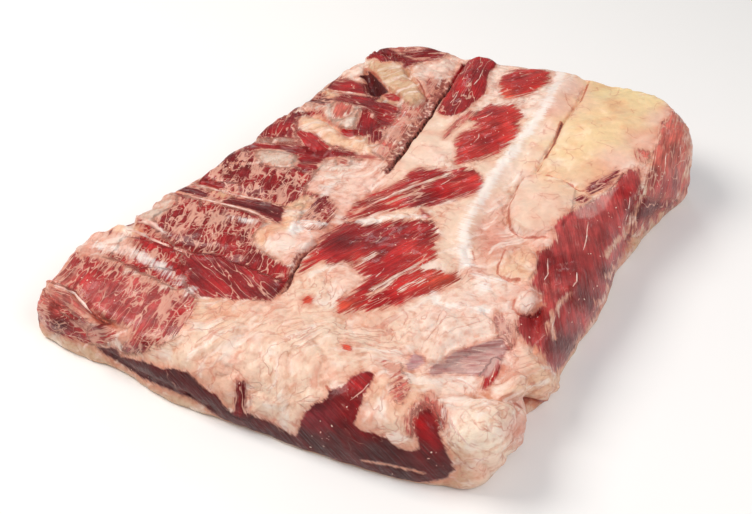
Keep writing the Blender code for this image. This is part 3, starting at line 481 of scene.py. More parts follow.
# Colours of the fat, as (x, y, reach, colour).
FAT_STATIONS = (
    (-40, -180, 40, Fat.CREAM), (0, -150, 40, Fat.CREAM), (20, -190, 36, Fat.CREAM),
    (40, -140, 30, Fat.CREAM), (-60, -160, 22, Fat.WARM), (-30, -140, 14, Fat.PINK),
    (-28, -170, 9, Fat.PINK), (-10, -110, 16, Fat.CREAM), (4, -100, 14, Fat.PINK), (88, -112, 20, Fat.PALE),
    (76, -128, 14, Fat.PALE), (62, -118, 12, Fat.PALE), (70, -180, 18, Fat.WARM), (80, -205, 14, Fat.CREAM),
    (66, -200, 9, Fat.ROSE), (62, -160, 14, Fat.PINK), (100, -160, 16, Fat.PALE), (104, -185, 10, Fat.PALE),
    (126, -188, 15, Fat.LIGHT), (128, -160, 10, Fat.CREAM), (132, -208, 8, Fat.CREAM),
    (142, -140, 12, Fat.WARM), (128, -136, 9, Fat.PINK), (145, -180, 8, Fat.ROSE), (120, -216, 9, Fat.TAN),
    (54, -45, 16, Fat.CREAM), (48, -20, 14, Fat.CREAM), (62, -72, 14, Fat.CREAM), (76, -100, 14, Fat.PALE),
    (74, -20, 10, Fat.ROSE), (84, -34, 11, Fat.ROSE), (74, 10, 9, Fat.PINK), (102, -44, 12, Fat.WARM),
    (76, -60, 9, Fat.PINK), (98, -76, 12, Fat.PALE), (112, -72, 10, Fat.PINK), (92, -88, 9, Fat.PINK),
    (110, -14, 9, Fat.PINK), (96, 20, 20, Fat.CREAM), (98, 90, 26, Fat.YELLOW), (118, 150, 30, Fat.YELLOW),
    (124, 190, 14, Fat.STRAW), (100, 186, 12, Fat.STRAW), (112, 60, 18, Fat.WARM), (94, 76, 5, Fat.PALE),
    (130, 96, 12, Fat.PINK), (146, 130, 12, Fat.PINK), (152, 160, 10, Fat.PINK), (160, 176, 8, Fat.ROSE),
    (146, 88, 9, Fat.PINK), (168, 140, 14, Fat.ROSE), (172, 40, 12, Fat.TAN), (182, 74, 9, Fat.ROSE),
    (166, 0, 8, Fat.TAN), (163, -70, 8, Fat.ROSE), (92, 162, 10, Fat.WARM), (74, 110, 12, Fat.PALE),
    (72, 80, 12, Fat.PALE), (74, 150, 12, Fat.PINK), (80, 180, 10, Fat.PINK), (72, 50, 10, Fat.PALE),
    (64, 180, 10, Fat.PALE), (16, 170, 12, Fat.PALE), (22, 140, 10, Fat.PALE), (0, 60, 24, Fat.CREAM),
    (2, 20, 14, Fat.CREAM), (8, 90, 14, Fat.CREAM), (10, 48, 14, Fat.PALE), (50, 145, 12, Fat.PALE),
    (-28, 90, 12, Fat.ROSE), (-30, 60, 12, Fat.PINK), (-30, 30, 12, Fat.PINK), (-22, 0, 14, Fat.PINK),
    (-30, -30, 12, Fat.PINK), (-40, -10, 12, Fat.PALE), (-26, 170, 12, Fat.PALE), (-38, 150, 14, Fat.PINK),
    (-24, 130, 8, Fat.ROSE), (-22, -56, 8, Fat.ROSE), (-40, -82, 12, Fat.PINK), (-56, -86, 9, Fat.PALE),
    (-64, -80, 8, Fat.WARM), (-56, -50, 10, Fat.WARM), (-56, -20, 10, Fat.PINK), (-50, 44, 14, Fat.CREAM),
    (-84, 52, 14, Fat.WARM), (-98, 56, 10, Fat.CREAM), (-92, 2, 14, Fat.GRISTLE),
    (-78, 72, 14, Fat.GRISTLE), (-94, 80, 8, Fat.PINK), (-92, 130, 10, Fat.PALE), (-100, 140, 8, Fat.PINK),
    (-84, 122, 7, Fat.PINK), (-62, 142, 16, Fat.TAN), (-76, 156, 10, Fat.TAN), (-46, 124, 12, Fat.WARM),
    (-32, 110, 8, Fat.WHITE), (-140, -84, 11, Fat.GRISTLE), (-84, -74, 9, Fat.GRISTLE),
    (-112, -54, 8, Fat.TAN), (-120, -90, 20, Fat.ROSE), (-100, -30, 24, Fat.ROSE),
    (-160, -126, 12, Fat.GRISTLE), (-158, -134, 7, Fat.ROSE), (-120, -145, 16, Fat.GRISTLE),
    (-96, -146, 9, Fat.WHITE), (-110, -164, 22, Fat.ROSE), (-150, -165, 16, Fat.ROSE),
    (-140, -197, 12, Fat.ROSE), (-122, -202, 10, Fat.PINK), (-96, -204, 9, Fat.ROSE),
    (-130, -218, 16, Fat.TAN), (-90, -225, 16, Fat.TAN), (-50, -232, 18, Fat.TAN),
    (-160, -112, 8, Fat.WARM), (-10, -236, 12, Fat.TAN), (-78, 190, 12, Fat.ROSE), (-112, 20, 10, Fat.ROSE),
)

# Lines of fat that cross the lean, as (path, half-width).
FAT_SEAMS = (
    (((141, -58), (138, -68), (137, -75), (137, -90), (143, -101)), 1.5),
    (((156, 100), (158, 80), (160, 46), (160, 16), (156, 4), (153, -14)), 1.5),
    (((166, 4), (164, -14), (161, -34)), 2.0), (((160, -58), (164, -66), (161, -82), (158, -100)), 1.8),
    (((-137, -49), (-120, -50), (-100, -50), (-85, -48), (-68, -47)), 1.0),
    (((-146, -63), (-120, -63), (-100, -62), (-84, -62), (-74, -64), (-64, -68)), 1.1),
    (((-103, 100), (-85, 105), (-70, 106)), 1.2), (((74, -232), (90, -229), (108, -227)), 0.5),
    (((26, 34), (24, 28), (17, 20), (10, 10), (4, 2), (-2, -8), (-10, -22), (-18, -35)), 1.1),
    (((0, -17), (8, -6), (14, 2)), 0.6),
    (((42, -72), (37, -80), (33, -88), (30, -95), (27, -101), (25, -108)), 0.8),
    (((13, -70), (10, -80), (6, -89)), 0.5), (((50, -84), (44, -90), (42, -97)), 0.6),
    (((-124, -17), (-112, -12), (-104, -9)), 1.0), (((-90, 190), (-70, 178), (-56, 174), (-46, 180)), 1.2),
)

# Tendon and silvery sheets, nearly white, as (path, half-width, strength).
TENDONS = (
    (((62, 206), (63, 180), (65, 150), (64, 122), (62, 100), (60, 80), (58, 60), (57, 30), (57, 0),
        (58, -20), (62, -36), (67, -46), (72, -58)), 4.6, 1.0),
    (((71, 206), (73, 190), (75, 178)), 2.0, 0.7),
    (((72, -56), (80, -64), (90, -66), (100, -61)), 3.0, 0.7),
    (((86, -66), (90, -76), (84, -86)), 4.5, 0.5), (((62, -92), (67, -99), (84, -98), (98, -95)), 3.0, 0.7),
    (((-160, -135), (-138, -132), (-118, -134), (-99, -141), (-80, -150)), 4.6, 0.70),
    (((-92, -73), (-76, -72)), 3.2, 0.6), (((-46, -12), (-45, -24)), 2.6, 0.6),
    (((-123, 14), (-110, 20), (-97, 26)), 3.0, 0.45),
    (((2, -34), (10, -29), (20, -24), (27, -21)), 3.0, 0.8), (((-12, -43), (-6, -41), (0, -38)), 4.0, 0.8),
    (((-50, -61), (-44, -58), (-37, -56), (-31, -55)), 2.0, 0.9), (((-38, -66), (-34, -71)), 1.6, 0.8),
    (((-33, 60), (-33, 76), (-32, 100)), 2.0, 0.55),
    (((-152, -103), (-140, -100), (-130, -104), (-122, -108)), 2.0, 0.7),
    (((102, -182), (108, -196), (118, -207), (128, -214)), 3.2, 0.4),
    (((90, -158), (104, -156), (116, -160), (124, -172)), 3.4, 0.4),
)

# Thin purple-grey films stretched over the meat, as (outline, strength).
FILMS = (
    (PURPLE_SHEET, 0.75), (SMALL_SHEET, 0.5),
    (((120, 24), (126, 36), (133, 50), (138, 64), (141, 58), (140, 36), (134, 22), (126, 18)), 0.40),
    (((104, -93), (112, -98), (118, -106), (120, -118), (112, -112), (105, -102)), 0.3),
)

# Bands of dried blood in the open seams, as (path, half-width, strength).
CRUST_LINES = (
    (((-16.5, 152), (-15.5, 140), (-15.5, 120), (-15.5, 100), (-16, 80), (-16, 60), (-16, 40), (-15, 18)),
        1.7, 1.0),
    (((-19.5, 152), (-19.5, 140), (-19, 110), (-19, 80), (-18.5, 45), (-16, 20)), 4.0, 0.62),
    (((-28.5, -86), (-30, -94), (-29, -106), (-27, -116), (-26, -124)), 1.1, 0.85),
    (((-31, -90), (-31, -100), (-29, -112)), 1.8, 0.40),
)

# Lines where the meat folds in, as (path, half-width, strength): shade painted into the folds, browner
# in the deeper ones, with a near-black painted shadow at their bottoms.
FOLD_SHADOW_LINES = (
    (((86, 194), (87.5, 178), (88.5, 164)), 1.2, 0.62),
    (((82, 132), (83, 120), (84, 106), (85.5, 98), (84, 88), (85, 78)), 1.5, 0.92),
    (((84, 70), (84, 60), (78, 53), (75, 43), (76, 34), (79, 20), (79, 8), (82, 0), (86, -9), (92, -14),
        (97, -15), (104, -13), (111, -11)), 0.9, 0.56),
    (((92, 57), (100, 55), (106, 54), (112, 53), (118, 48), (121, 49)), 1.0, 0.60),
    (((91, -36), (90, -48), (92, -55), (99, -59), (108, -59)), 0.9, 0.56),
    (((111, -80), (112, -86), (117, -89), (122, -87), (127, -80), (128, -75)), 1.0, 0.55),
    (((-144, -181), (-137, -185), (-128, -190), (-120, -193.5), (-113, -196)), 1.3, 0.9),
    (((142, -161), (147, -155), (152, -152)), 2.0, 0.8),
    (((74, 170), (77, 163), (80, 158), (84, 156)), 0.7, 0.40),
    (((-38, 135), (-30, 128), (-24, 119)), 1.0, 0.55),
    (((-80, 139), (-70, 130), (-62, 123), (-57, 118)), 1.2, 0.6), (((-122, -24), (-114, -33)), 1.4, 0.6),
    (((139, -58), (142, -64), (147, -68), (151, -72)), 1.6, 0.7), (((110, -26), (112, -31)), 1.1, 0.6),
    (((70, -41), (74, -48)), 0.8, 0.42), (((-154, -192), (-152, -198)), 1.6, 0.6),
    (((-92, 150), (-92, 165)), 1.2, 0.6), (((140, -178), (141, -192)), 1.2, 0.5),
    (((34, -191), (37, -193)), 1.0, 0.6),
    (((106, -176), (113, -180), (122, -188), (132, -189)), 0.7, 0.30),
    (((112, -190), (121, -197), (134, -199)), 0.7, 0.30),
    (((104, -198), (112, -204), (124, -210), (132, -214)), 0.8, 0.34),
    (((116, -168), (124, -172), (130, -180)), 0.7, 0.28),
    (((-26, -148), (-28, -170), (-25, -196)), 0.8, 0.24),
    (((-60, -168), (-46, -172), (-36, -168), (-26, -176)), 0.7, 0.22),
    (((-10, -160), (6, -164), (20, -172), (30, -186)), 0.7, 0.24),
    (((62, -150), (66, -166), (72, -180)), 0.8, 0.26), (((30, -130), (44, -134), (56, -146)), 0.7, 0.22),
    (((-44, -198), (-34, -190), (-20, -192)), 0.7, 0.22), (((92, 0), (98, 14), (97, 30)), 0.7, 0.28),
)

# Strands of sinew that lie on the meat, as (path, radius).
SINEW_STRANDS = (
    (((43, -71), (37, -80), (33, -88), (30, -95), (27, -101), (25, -109)), 0.9),
    (((13, -70), (10, -80), (6, -89)), 0.5), (((24, -80), (24, -86), (22, -93)), 0.5),
    (((50, -84), (44, -90), (42, -97)), 0.6), (((56, -80), (52, -86), (49, -93)), 0.4),
    (((26, 33), (24, 28), (17, 20), (10, 10), (4, 2), (-2, -8), (-10, -22), (-17, -33)), 1.0),
    (((0, -17), (8, -6), (13, 1)), 0.6), (((32, 34), (29, 24), (24, 14)), 0.5),
    (((-167, -178.5), (-158, -179), (-146, -180), (-136, -186), (-126, -191), (-116, -195.5)), 1.2),
    (((-152, -103), (-140, -100.5), (-130, -104), (-122, -108)), 1.8),
    (((-160, -112), (-145, -112), (-125, -116), (-100, -119)), 1.6),
    (((-135, -49), (-120, -50), (-100, -50), (-85, -48), (-70, -47)), 1.0),
    (((-138, -63), (-120, -63), (-100, -62), (-85, -62), (-75, -64), (-65, -68)), 0.9),
    (((-118, -39), (-114, -42), (-110, -45)), 0.9), (((-50, -61), (-45, -58), (-38, -56), (-32, -55)), 1.4),
    (((-38, -66), (-35, -69), (-32, -72)), 0.9), (((30, 78), (31, 84), (29, 92)), 0.5),
    (((22, 108), (27, 114), (30, 122)), 0.4), (((-6, 116), (-4, 130), (-6, 146)), 0.5),
    (((2, 150), (4, 164), (2, 180)), 0.5), (((118, -30), (123, -46), (122, -58)), 0.5),
    (((132, 20), (136, 2), (138, -16)), 0.5), (((139, -36), (142, -46), (140, -56)), 0.6),
    (((138, -80), (139, -92), (143, -102)), 0.6), (((152, 60), (156, 34), (157, 8)), 0.6),
    (((165, 120), (168, 100), (170, 82)), 0.7), (((176, 118), (180, 98), (182, 82)), 0.6),
    (((170, 146), (174, 126), (177, 108)), 0.6), (((56, -176), (54, -186), (50, -196)), 0.5),
    (((66, -226), (80, -228), (96, -226)), 0.6), (((92, -129), (101, -130), (112, -127)), 0.5),
    (((94, -144), (104, -141), (114, -136)), 0.5),
    (((104, -180), (110, -190), (120, -198), (128, -202)), 0.7),
    (((92, -158), (104, -156), (116, -161)), 0.7),
)

# Flaps and lobes with a crisp edge, as (outline, height, how wide the edge is).
FLAPS = (
    (TORN_FLAP, 3.0, 1.6),
    (((90, -30), (98, -28), (108, -28), (113, -36), (115, -46), (113, -57), (104, -60), (97, -58),
        (92, -53), (90, -42)), 1.7, 1.2),
    (((72, -100), (95, -98), (112, -110), (110, -118), (92, -135), (85, -148), (75, -150), (62, -144),
        (58, -120)), 1.6, 2.0),
    (((77, 30), (79, 10), (84, -4), (96, -11), (108, -10), (118, 2), (120, 20), (116, 46), (104, 52),
        (86, 52), (77, 45)), 1.8, 1.6),
    (WHITE_SHEET, 1.6, 1.2),
    (((-14, -37), (-6, -35), (2, -38), (0, -43), (-6, -50), (-11, -51), (-14, -44)), 0.9, 1.0),
    (((1, -32), (10, -26), (20, -21), (27, -20), (28, -23), (18, -28), (8, -33), (2, -36)), 0.9, 1.0),
    (((-168, -178), (-146, -178), (-134, -185), (-118, -193), (-112, -200), (-124, -200), (-140, -192),
        (-160, -187)), 2.4, 2.0),
)

# Stretches of fat whose surface is smooth, cut or pulled flat.
SMOOTH_ZONES = (
    ((86, 200), (150, 190), (160, 160), (150, 110), (140, 86), (118, 56), (84, 60), (84, 130)),
    ((84, 54), (118, 46), (114, 8), (104, -8), (86, -4), (78, 20), (78, 48)),
    ((60, 206), (84, 206), (84, 120), (80, 50), (66, 56), (62, 120)),
    ((-12, 108), (16, 108), (20, 60), (0, 30), (-8, 0), (-14, 10)),
    ((48, 60), (66, 60), (62, -40), (48, -50)),
)


def linear(code: str) -> tuple[float, float, float, float]:
    """Turns an sRGB hex colour into linear values.

    Args:
        code: The colour, such as "#F3DCC0".

    Returns:
        Linear red, green, blue and an alpha of 1.
    """
    values = [int(code[place : place + 2], 16) / 255 for place in (1, 3, 5)]
    red, green, blue = (v / 12.92 if v <= 0.04045 else ((v + 0.055) / 1.055) ** 2.4 for v in values)
    return red, green, blue, 1.0


def rgb_of(kind: Lean | Fat) -> Points:
    """Linear red, green and blue of one of the meat's colours."""
    return np.array(linear(kind.value)[:3])


def lengths_walked(path: Points) -> Points:
    """Length of a path up to each of its points, measured in its first two columns."""
    return np.concatenate(([0.0], np.cumsum(np.hypot(*np.diff(path[:, :2], axis=0).T))))


def new_object(name: str, data: bpy.types.ID) -> bpy.types.Object:
    """Puts a new object with this data into the scene."""
    made = bpy.data.objects.new(name, data)
    bpy.context.scene.collection.objects.link(made)
    return made


def new_material(name: str) -> tuple:
    """Starts a material.

    Args:
        name: Its name.

    Returns:
        The material, its tree, its shader and the Object coordinates that its patterns follow.
    """
    material = bpy.data.materials.new(name)
    material.use_nodes = True
    tree = material.node_tree
    place = add_node(tree, "ShaderNodeTexCoord", {}, {}, "Object")
    return material, tree, tree.nodes["Principled BSDF"], place


def add_node(
    tree: bpy.types.NodeTree, kind: str, settings: dict, inputs: dict, output: str | int = 0
) -> bpy.types.NodeSocket | bpy.types.Node:
    """Adds a node with its settings and links.

    Args:
        tree: The tree that gets the node.
        kind: The node's type.
        settings: Values of the node's own properties.
        inputs: A value or a socket to link for each of its inputs, by name or number.
        output: Which output to return.

    Returns:
        The chosen output socket, or the node if it has none.
    """
    node = tree.nodes.new(kind)
    for name, value in settings.items():
        setattr(node, name, value)
    for key, source in inputs.items():
        if isinstance(source, bpy.types.NodeSocket):
            tree.links.new(source, node.inputs[key])
        else:
            node.inputs[key].default_value = source
    return node.outputs[output] if len(node.outputs) else node


class Step(Enum):
    """Steps that trees are worked out in: a node's type, settings, inputs and output."""

    ADD = ("ShaderNodeMath", {"operation": "ADD"}, (0, 1), 0)
    SUBTRACT = ("ShaderNodeMath", {"operation": "SUBTRACT"}, (0, 1), 0)
    MULTIPLY = ("ShaderNodeMath", {"operation": "MULTIPLY"}, (0, 1), 0)
    DIVIDE = ("ShaderNodeMath", {"operation": "DIVIDE"}, (0, 1), 0)
    MAXIMUM = ("ShaderNodeMath", {"operation": "MAXIMUM"}, (0, 1), 0)
    ABSOLUTE = ("ShaderNodeMath", {"operation": "ABSOLUTE"}, (0,), 0)
    EASE = ("ShaderNodeMapRange", {"interpolation_type": "SMOOTHSTEP"}, (0, 1, 2, 3, 4), 0)
    RANGE = ("ShaderNodeMapRange", {"interpolation_type": "LINEAR"}, (0, 1, 2, 3, 4), 0)
    MIX = ("ShaderNodeMix", {"data_type": "RGBA", "blend_type": "MIX"}, (0, 6, 7), 2)
    TINT = ("ShaderNodeMix", {"data_type": "RGBA", "blend_type": "MULTIPLY"}, (0, 6, 7), 2)
    STRETCH = ("ShaderNodeVectorMath", {"operation": "MULTIPLY"}, (0, 1), 0)
    SHIFT = ("ShaderNodeVectorMath", {"operation": "MULTIPLY_ADD"}, (0, 1, 2), 0)
    SCALE = ("ShaderNodeVectorMath", {"operation": "SCALE"}, (0, "Scale"), 0)
    NOISE = ("ShaderNodeTexNoise", {}, ("Vector", "Scale", "Detail"), 0)
    SWIRL = ("ShaderNodeTexNoise", {}, ("Vector", "Scale", "Detail"), "Color")


def take(tree: bpy.types.NodeTree, step: Step, *inputs: object) -> bpy.types.NodeSocket:
    """Adds the node of one step.

    Args:
        tree: The tree that gets it.
        step: The step.
        inputs: Its inputs in their order, as values or sockets.

    Returns:
        The step's output socket.
    """
    kind, settings, places, output = step.value
    return add_node(tree, kind, settings, dict(zip(places, inputs)), output)


def lattice_value(column: Points, row: Points, seed: float) -> Points:
    """A fixed pseudo-random value from 0 to 1 for each point of a lattice."""
    mixed = np.sin(column * 127.1 + row * 311.7 + seed * 74.7) * 43758.5453
    return mixed - np.floor(mixed)


def smooth_noise(x: Points, y: Points, scale: float, seed: float) -> Points:
    """Noise from -1 to 1 that changes over about one scale.

    Args:
        x: The places' x.
        y: The places' y.
        scale: Size of its swells, in millimetres.
        seed: Its seed.

    Returns:
        The noise at each place.
    """
    u, v = x / scale, y / scale
    column, row = np.floor(u), np.floor(v)
    u, v = u - column, v - row
    u, v = u * u * (3 - 2 * u), v * v * (3 - 2 * v)
    low = lattice_value(column, row, seed) * (1 - u) + lattice_value(column + 1, row, seed) * u
    high = lattice_value(column, row + 1, seed) * (1 - u) + lattice_value(column + 1, row + 1, seed) * u
    return 2 * (low * (1 - v) + high * v) - 1


def lobule_shape(x: Points, y: Points, scale: float, seed: float) -> Points:
    """Rounded cells, 1 at each cell's middle and 0 at its edge.

    Args:
        x: The places' x.
        y: The places' y.
        scale: Size of the cells, in millimetres.
        seed: Their seed.

    Returns:
        The shape at each place.
    """
    u, v = x / scale, y / scale
    column, row = np.floor(u), np.floor(v)
    nearest = np.full(u.shape, 9.0)
    second = np.full(u.shape, 9.0)
    for across in (-1, 0, 1):
        for along in (-1, 0, 1):
            cell_u, cell_v = column + across, row + along
            seed_u = cell_u + lattice_value(cell_u, cell_v, seed)
            seed_v = cell_v + lattice_value(cell_u, cell_v, seed + 1)
            distance = np.hypot(u - seed_u, v - seed_v)
            second = np.minimum(second, np.maximum(nearest, distance))
            nearest = np.minimum(nearest, distance)
    return np.clip((second - nearest) * 1.6, 0, 1) ** 0.6


def distance_to_path(place: Points, path: Path) -> tuple[Points, Points, Points]:
    """Measures places against a path.

    Args:
        place: Places on the plan.
        path: The path's points.

    Returns:
        Distance to the path, 1 on its left and -1 on its right, and the share of it walked there.
    """
    line = np.asarray(path, float)
    lengths = np.hypot(*np.diff(line, axis=0).T)
    walked = np.concatenate(([0.0], np.cumsum(lengths)))
    best = np.full(len(place), 1e9)
    side, share = np.zeros(len(place)), np.zeros(len(place))
    for start, end, length, before in zip(line, line[1:], lengths, walked):
        along = (end - start) / length
        reach = np.clip((place - start) @ along, 0, length)
        away = place - start - reach[:, None] * along
        distance = np.hypot(*away.T)
        nearer = distance < best
        cross = along[0] * away[:, 1] - along[1] * away[:, 0]
        best = np.where(nearer, distance, best)
        side = np.where(nearer, np.sign(cross), side)
        share = np.where(nearer, (before + reach) / walked[-1], share)
    return best, side, share


def depth_inside(place: Points, outline: Path) -> Points:
    """Distance from places to an outline, positive inside it.

    Args:
        place: Places on the plan.
        outline: The outline's corners.

    Returns:
        The distance for each place.
    """
    closed = tuple(outline) + (outline[0],)
    distance = distance_to_path(place, closed)[0]
    inside = np.zeros(len(place), bool)
    x, y = place.T
    for (x0, y0), (x1, y1) in zip(closed, closed[1:]):
        crosses = (y0 > y) != (y1 > y)
        level = x0 + (y - y0) * (x1 - x0) / ((y1 - y0) or 1e-9)
        inside ^= crosses & (x < level)
    return np.where(inside, distance, -distance)


def nearness(place: Points, x: float, y: float, reach: float) -> Points:
    """How near places are to one point: 1 there, and fading over the reach."""
    return np.exp(-((place[:, 0] - x) ** 2 + (place[:, 1] - y) ** 2) / reach**2)


def on_plan(points: Points) -> Points:
    """Where points of the skin show on the plan: the line from the pole through each one meets it there."""
    share = (PLAN_POLE[2] - PLAN_HEIGHT) / (PLAN_POLE[2] - points[:, 2])
    return PLAN_POLE[:2] + (points[:, :2] - PLAN_POLE[:2]) * share[:, None]


@dataclass(frozen=True)
class SlabForm:
    """The form of the slab, as a grid over the rib side, a rolled wall and a flat base.

    Attributes:
        across: Cells of the top grid from left to right.
        along: Cells of the top grid from front to back.
        roll_rows: Rows of the wall from the top down to its widest level.
        tuck_rows: Rows of the wall from there to the base.
        base_step: Cells of the wall to one cell of the base.
        base_rim: Width of the ring of faces between the wall and the base's own grid.
        refinements: Passes that halve the cells near fine lines, as (reach, shortest edge that is halved).
    """

    across: int = 180
    along: int = 200
    roll_rows: int = 24
    tuck_rows: int = 4
    base_step: int = 10
    base_rim: float = 6.0
    refinements: tuple = ((4.2, 1.5), (2.0, 0.9))

    def closed_curve(self, rows: tuple, samples_each: int) -> Points:
        """A smooth closed curve through the rows, with the same number of samples after each.

        Args:
            rows: The rows, of any number of columns.
            samples_each: Samples after each row.

        Returns:
            The samples as rows.
        """
        knots = np.asarray(rows, float)
        parts = (np.roll(knots, 1, 0), knots, np.roll(knots, -1, 0), np.roll(knots, -2, 0))
        a, b, c, d = (part[:, None, :] for part in parts)
        share = (np.arange(samples_each) / samples_each)[None, :, None]
        curve = 0.5 * (
            2 * b + (c - a) * share + (2 * a - 5 * b + 4 * c - d) * share**2
            + (3 * b - a - 3 * c + d) * share**3
        )
        return curve.reshape(-1, knots.shape[1])

    def edge_loop(self) -> Points:
        """The edge all round, as (x, y, roll, tuck), evenly spaced along each of its four sides.

        Returns:
            One row for each step of the loop, from the front left corner on.
        """
        sides = (FRONT_EDGE, RIGHT_EDGE, BACK_EDGE, LEFT_EDGE)
        samples_each = 24
        curve = self.closed_curve(sum(sides, ()), samples_each)
        curve = np.vstack((curve, curve[:1]))
        pieces, start = [], 0
        for side, count in zip(sides, (self.across, self.along, self.across, self.along)):
            end = start + len(side) * samples_each
            run = curve[start : end + 1]
            walked = lengths_walked(run)
            wanted = np.linspace(0, walked[-1], count + 1)
            pieces.append(np.stack([np.interp(wanted, walked, column) for column in run.T], axis=1)[:-1])
            start = end
        return np.vstack(pieces)

    def inward_directions(self, loop: Points) -> Points:
        """Unit directions into the slab at the points of the loop, smoothed so that offsets don't cross.

        Args:
            loop: The edge loop.

        Returns:
            A direction for each of its rows.
        """
        ahead, behind = np.roll(loop[:, :2], -1, 0), np.roll(loop[:, :2], 1, 0)
        tangent = ahead - behind
        inward = np.stack((-tangent[:, 1], tangent[:, 0]), axis=1)
        inward /= np.hypot(*inward.T)[:, None]
        spacing = np.hypot(*tangent.T).mean() / 2
        half = int(3 * EDGE_SMOOTHING / spacing)
        shifts = np.arange(-half, half + 1)
        weights = np.exp(-0.5 * (shifts * spacing / EDGE_SMOOTHING) ** 2)
        smoothed = sum(weight * np.roll(inward, shift, 0) for shift, weight in zip(shifts, weights))
        return smoothed / np.hypot(*smoothed.T)[:, None]

    def filled_grid(self, loop: Points, across: int, along: int) -> Points:
        """Points inside a loop of four sides, blended from the sides, as rows along by columns across.

        Args:
            loop: The loop's points, from the front left corner on.
            across: Cells from left to right.
            along: Cells from front to back.

        Returns:
            The points of the grid.
        """
        front = loop[: across + 1]
        right = loop[across : across + along + 1]
        back = loop[across + along : 2 * across + along + 1][::-1]
        left = np.vstack((loop[2 * across + along :], loop[:1]))[::-1]
        u = np.linspace(0, 1, across + 1)[None, :, None]
        v = np.linspace(0, 1, along + 1)[:, None, None]
        blend = (1 - v) * front[None] + v * back[None] + (1 - u) * left[:, None] + u * right[:, None]
        corners = (
            (1 - u) * (1 - v) * front[0] + u * (1 - v) * front[-1]
            + (1 - u) * v * back[0] + u * v * back[-1]
        )
        return blend - corners

    def rib_side_height(self, x: Points, y: Points) -> Points:
        """Height of the rib side, blended from the height stations.

        Args:
            x: The places' x.
            y: The places' y.

        Returns:
            The height at each place.
        """
        total, weights = np.zeros(x.shape), np.zeros(x.shape)
        for station_x, station_y, height in HEIGHT_STATIONS:
            squared = ((x - station_x) ** 2 + (y - station_y) ** 2) / STATION_REACH**2
            weight = np.exp(-0.5 * squared) + 1e-3 / (1 + squared)
            total += weight * height
            weights += weight
        return total / weights

    def grid_faces(self, rows: int, columns: int, first: int, upward: bool) -> Points:
        """Quads of a grid of points whose first point has the given number.

        Args:
            rows: Rows of points.
            columns: Columns of points.
            first: Number of the first point.
            upward: Whether the faces look up.

        Returns:
            The faces, as rows of four point numbers.
        """
        row, column = np.meshgrid(np.arange(rows - 1), np.arange(columns - 1), indexing="ij")
        corner = first + row * columns + column
        quads = np.stack((corner, corner + 1, corner + columns + 1, corner + columns), axis=-1).reshape(-1,
                                                                                                        4)
        return quads if upward else quads[:, ::-1]

    def rim_numbers(self, rows: int, columns: int, first: int) -> Points:
        """Numbers of the points round the rim of a grid, in the order of the edge loop."""
        numbers = first + np.arange(rows * columns).reshape(rows, columns)
        return np.concatenate((numbers[0, :-1], numbers[:-1, -1], numbers[-1, :0:-1], numbers[:0:-1, 0]))

    def roll_turns(self) -> Points:
        """Turns of the roll, from 0 to a quarter circle, that space its rows evenly.

        Returns:
            One turn for each row.
        """
        turn = np.linspace(0, math.pi / 2, 400)
        out, up = np.sin(turn) ** (2 / ROLL_POWER), 1.5 * np.cos(turn) ** (2 / ROLL_POWER)
        walked = lengths_walked(np.column_stack((out, up)))
        return np.interp(np.linspace(0, walked[-1], self.roll_rows + 1)[1:], walked, turn)

    def smooth_skin(self) -> tuple[Points, list]:
        """Points and faces of the slab before any relief.

        Returns:
            The points in millimetres, and the faces as lists of point numbers.
        """
        loop = self.edge_loop()
        outline, roll, tuck = loop[:, :2], loop[:, 2:3], loop[:, 3:4]
        inward = self.inward_directions(loop)
        plateau, base = outline + inward * roll, outline + inward * tuck
        rows, columns = self.along + 1, self.across + 1
        top = self.filled_grid(plateau, self.across, self.along).reshape(-1, 2)
        points = [np.column_stack((top, self.rib_side_height(*top.T)))]
        faces = [self.grid_faces(rows, columns, 0, True)]

        edge_height = self.rib_side_height(*plateau.T)[:, None]
        rings = [self.rim_numbers(rows, columns, 0)]
        first = len(top)
        for turn in self.roll_turns():
            out, up = np.sin(turn) ** (2 / ROLL_POWER), max(np.cos(turn), 0.0) ** (2 / ROLL_POWER)
            height = WIDEST_LEVEL + (edge_height - WIDEST_LEVEL) * up
            points.append(np.column_stack((plateau + (outline - plateau) * out, height)))
            rings.append(first + np.arange(len(loop)))
            first += len(loop)
        for turn in np.linspace(0, math.pi / 2, self.tuck_rows + 1)[1:]:
            place = outline + (base - outline) * (1 - np.cos(turn))
            height = np.full(edge_height.shape, WIDEST_LEVEL * (1 - np.sin(turn)))
            points.append(np.column_stack((place, height)))
            rings.append(first + np.arange(len(loop)))
            first += len(loop)
        for upper, lower in zip(rings, rings[1:]):
            faces.append(np.stack((upper, lower, np.roll(lower, -1), np.roll(upper, -1)), axis=1))

        step = self.base_step
        inner = (base + inward * self.base_rim)[::step]
        across, along = self.across // step, self.along // step
        underside = self.filled_grid(inner, across, along).reshape(-1, 2)
        points.append(np.column_stack((underside, np.zeros(len(underside)))))
        faces.append(self.grid_faces(along + 1, across + 1, first, False))
        rim = self.rim_numbers(along + 1, across + 1, first)
        every = [face.tolist() for face in np.vstack(faces)]
        outer = np.append(rings[-1], rings[-1][0])
        for cell, (start, end) in enumerate(zip(rim, np.roll(rim, -1))):
            run = outer[cell * step : (cell + 1) * step + 1]
            every.append([int(number) for number in run[::-1]] + [int(start), int(end)])
        return np.vstack(points), every

    def normals(self, points: Points, faces: list) -> Points:
        """Unit normals of the points, from Blender's own average of the faces round each.

        Args:
            points: The points.
            faces: Their faces.

        Returns:
            A normal for each point.
        """
        mesh = bpy.data.meshes.new("skin")
        mesh.from_pydata(points.tolist(), [], faces)
        normals = np.zeros(len(points) * 3, np.float32)
        mesh.vertices.foreach_get("normal", normals)
        bpy.data.meshes.remove(mesh)
        return normals.reshape(-1, 3).astype(float)

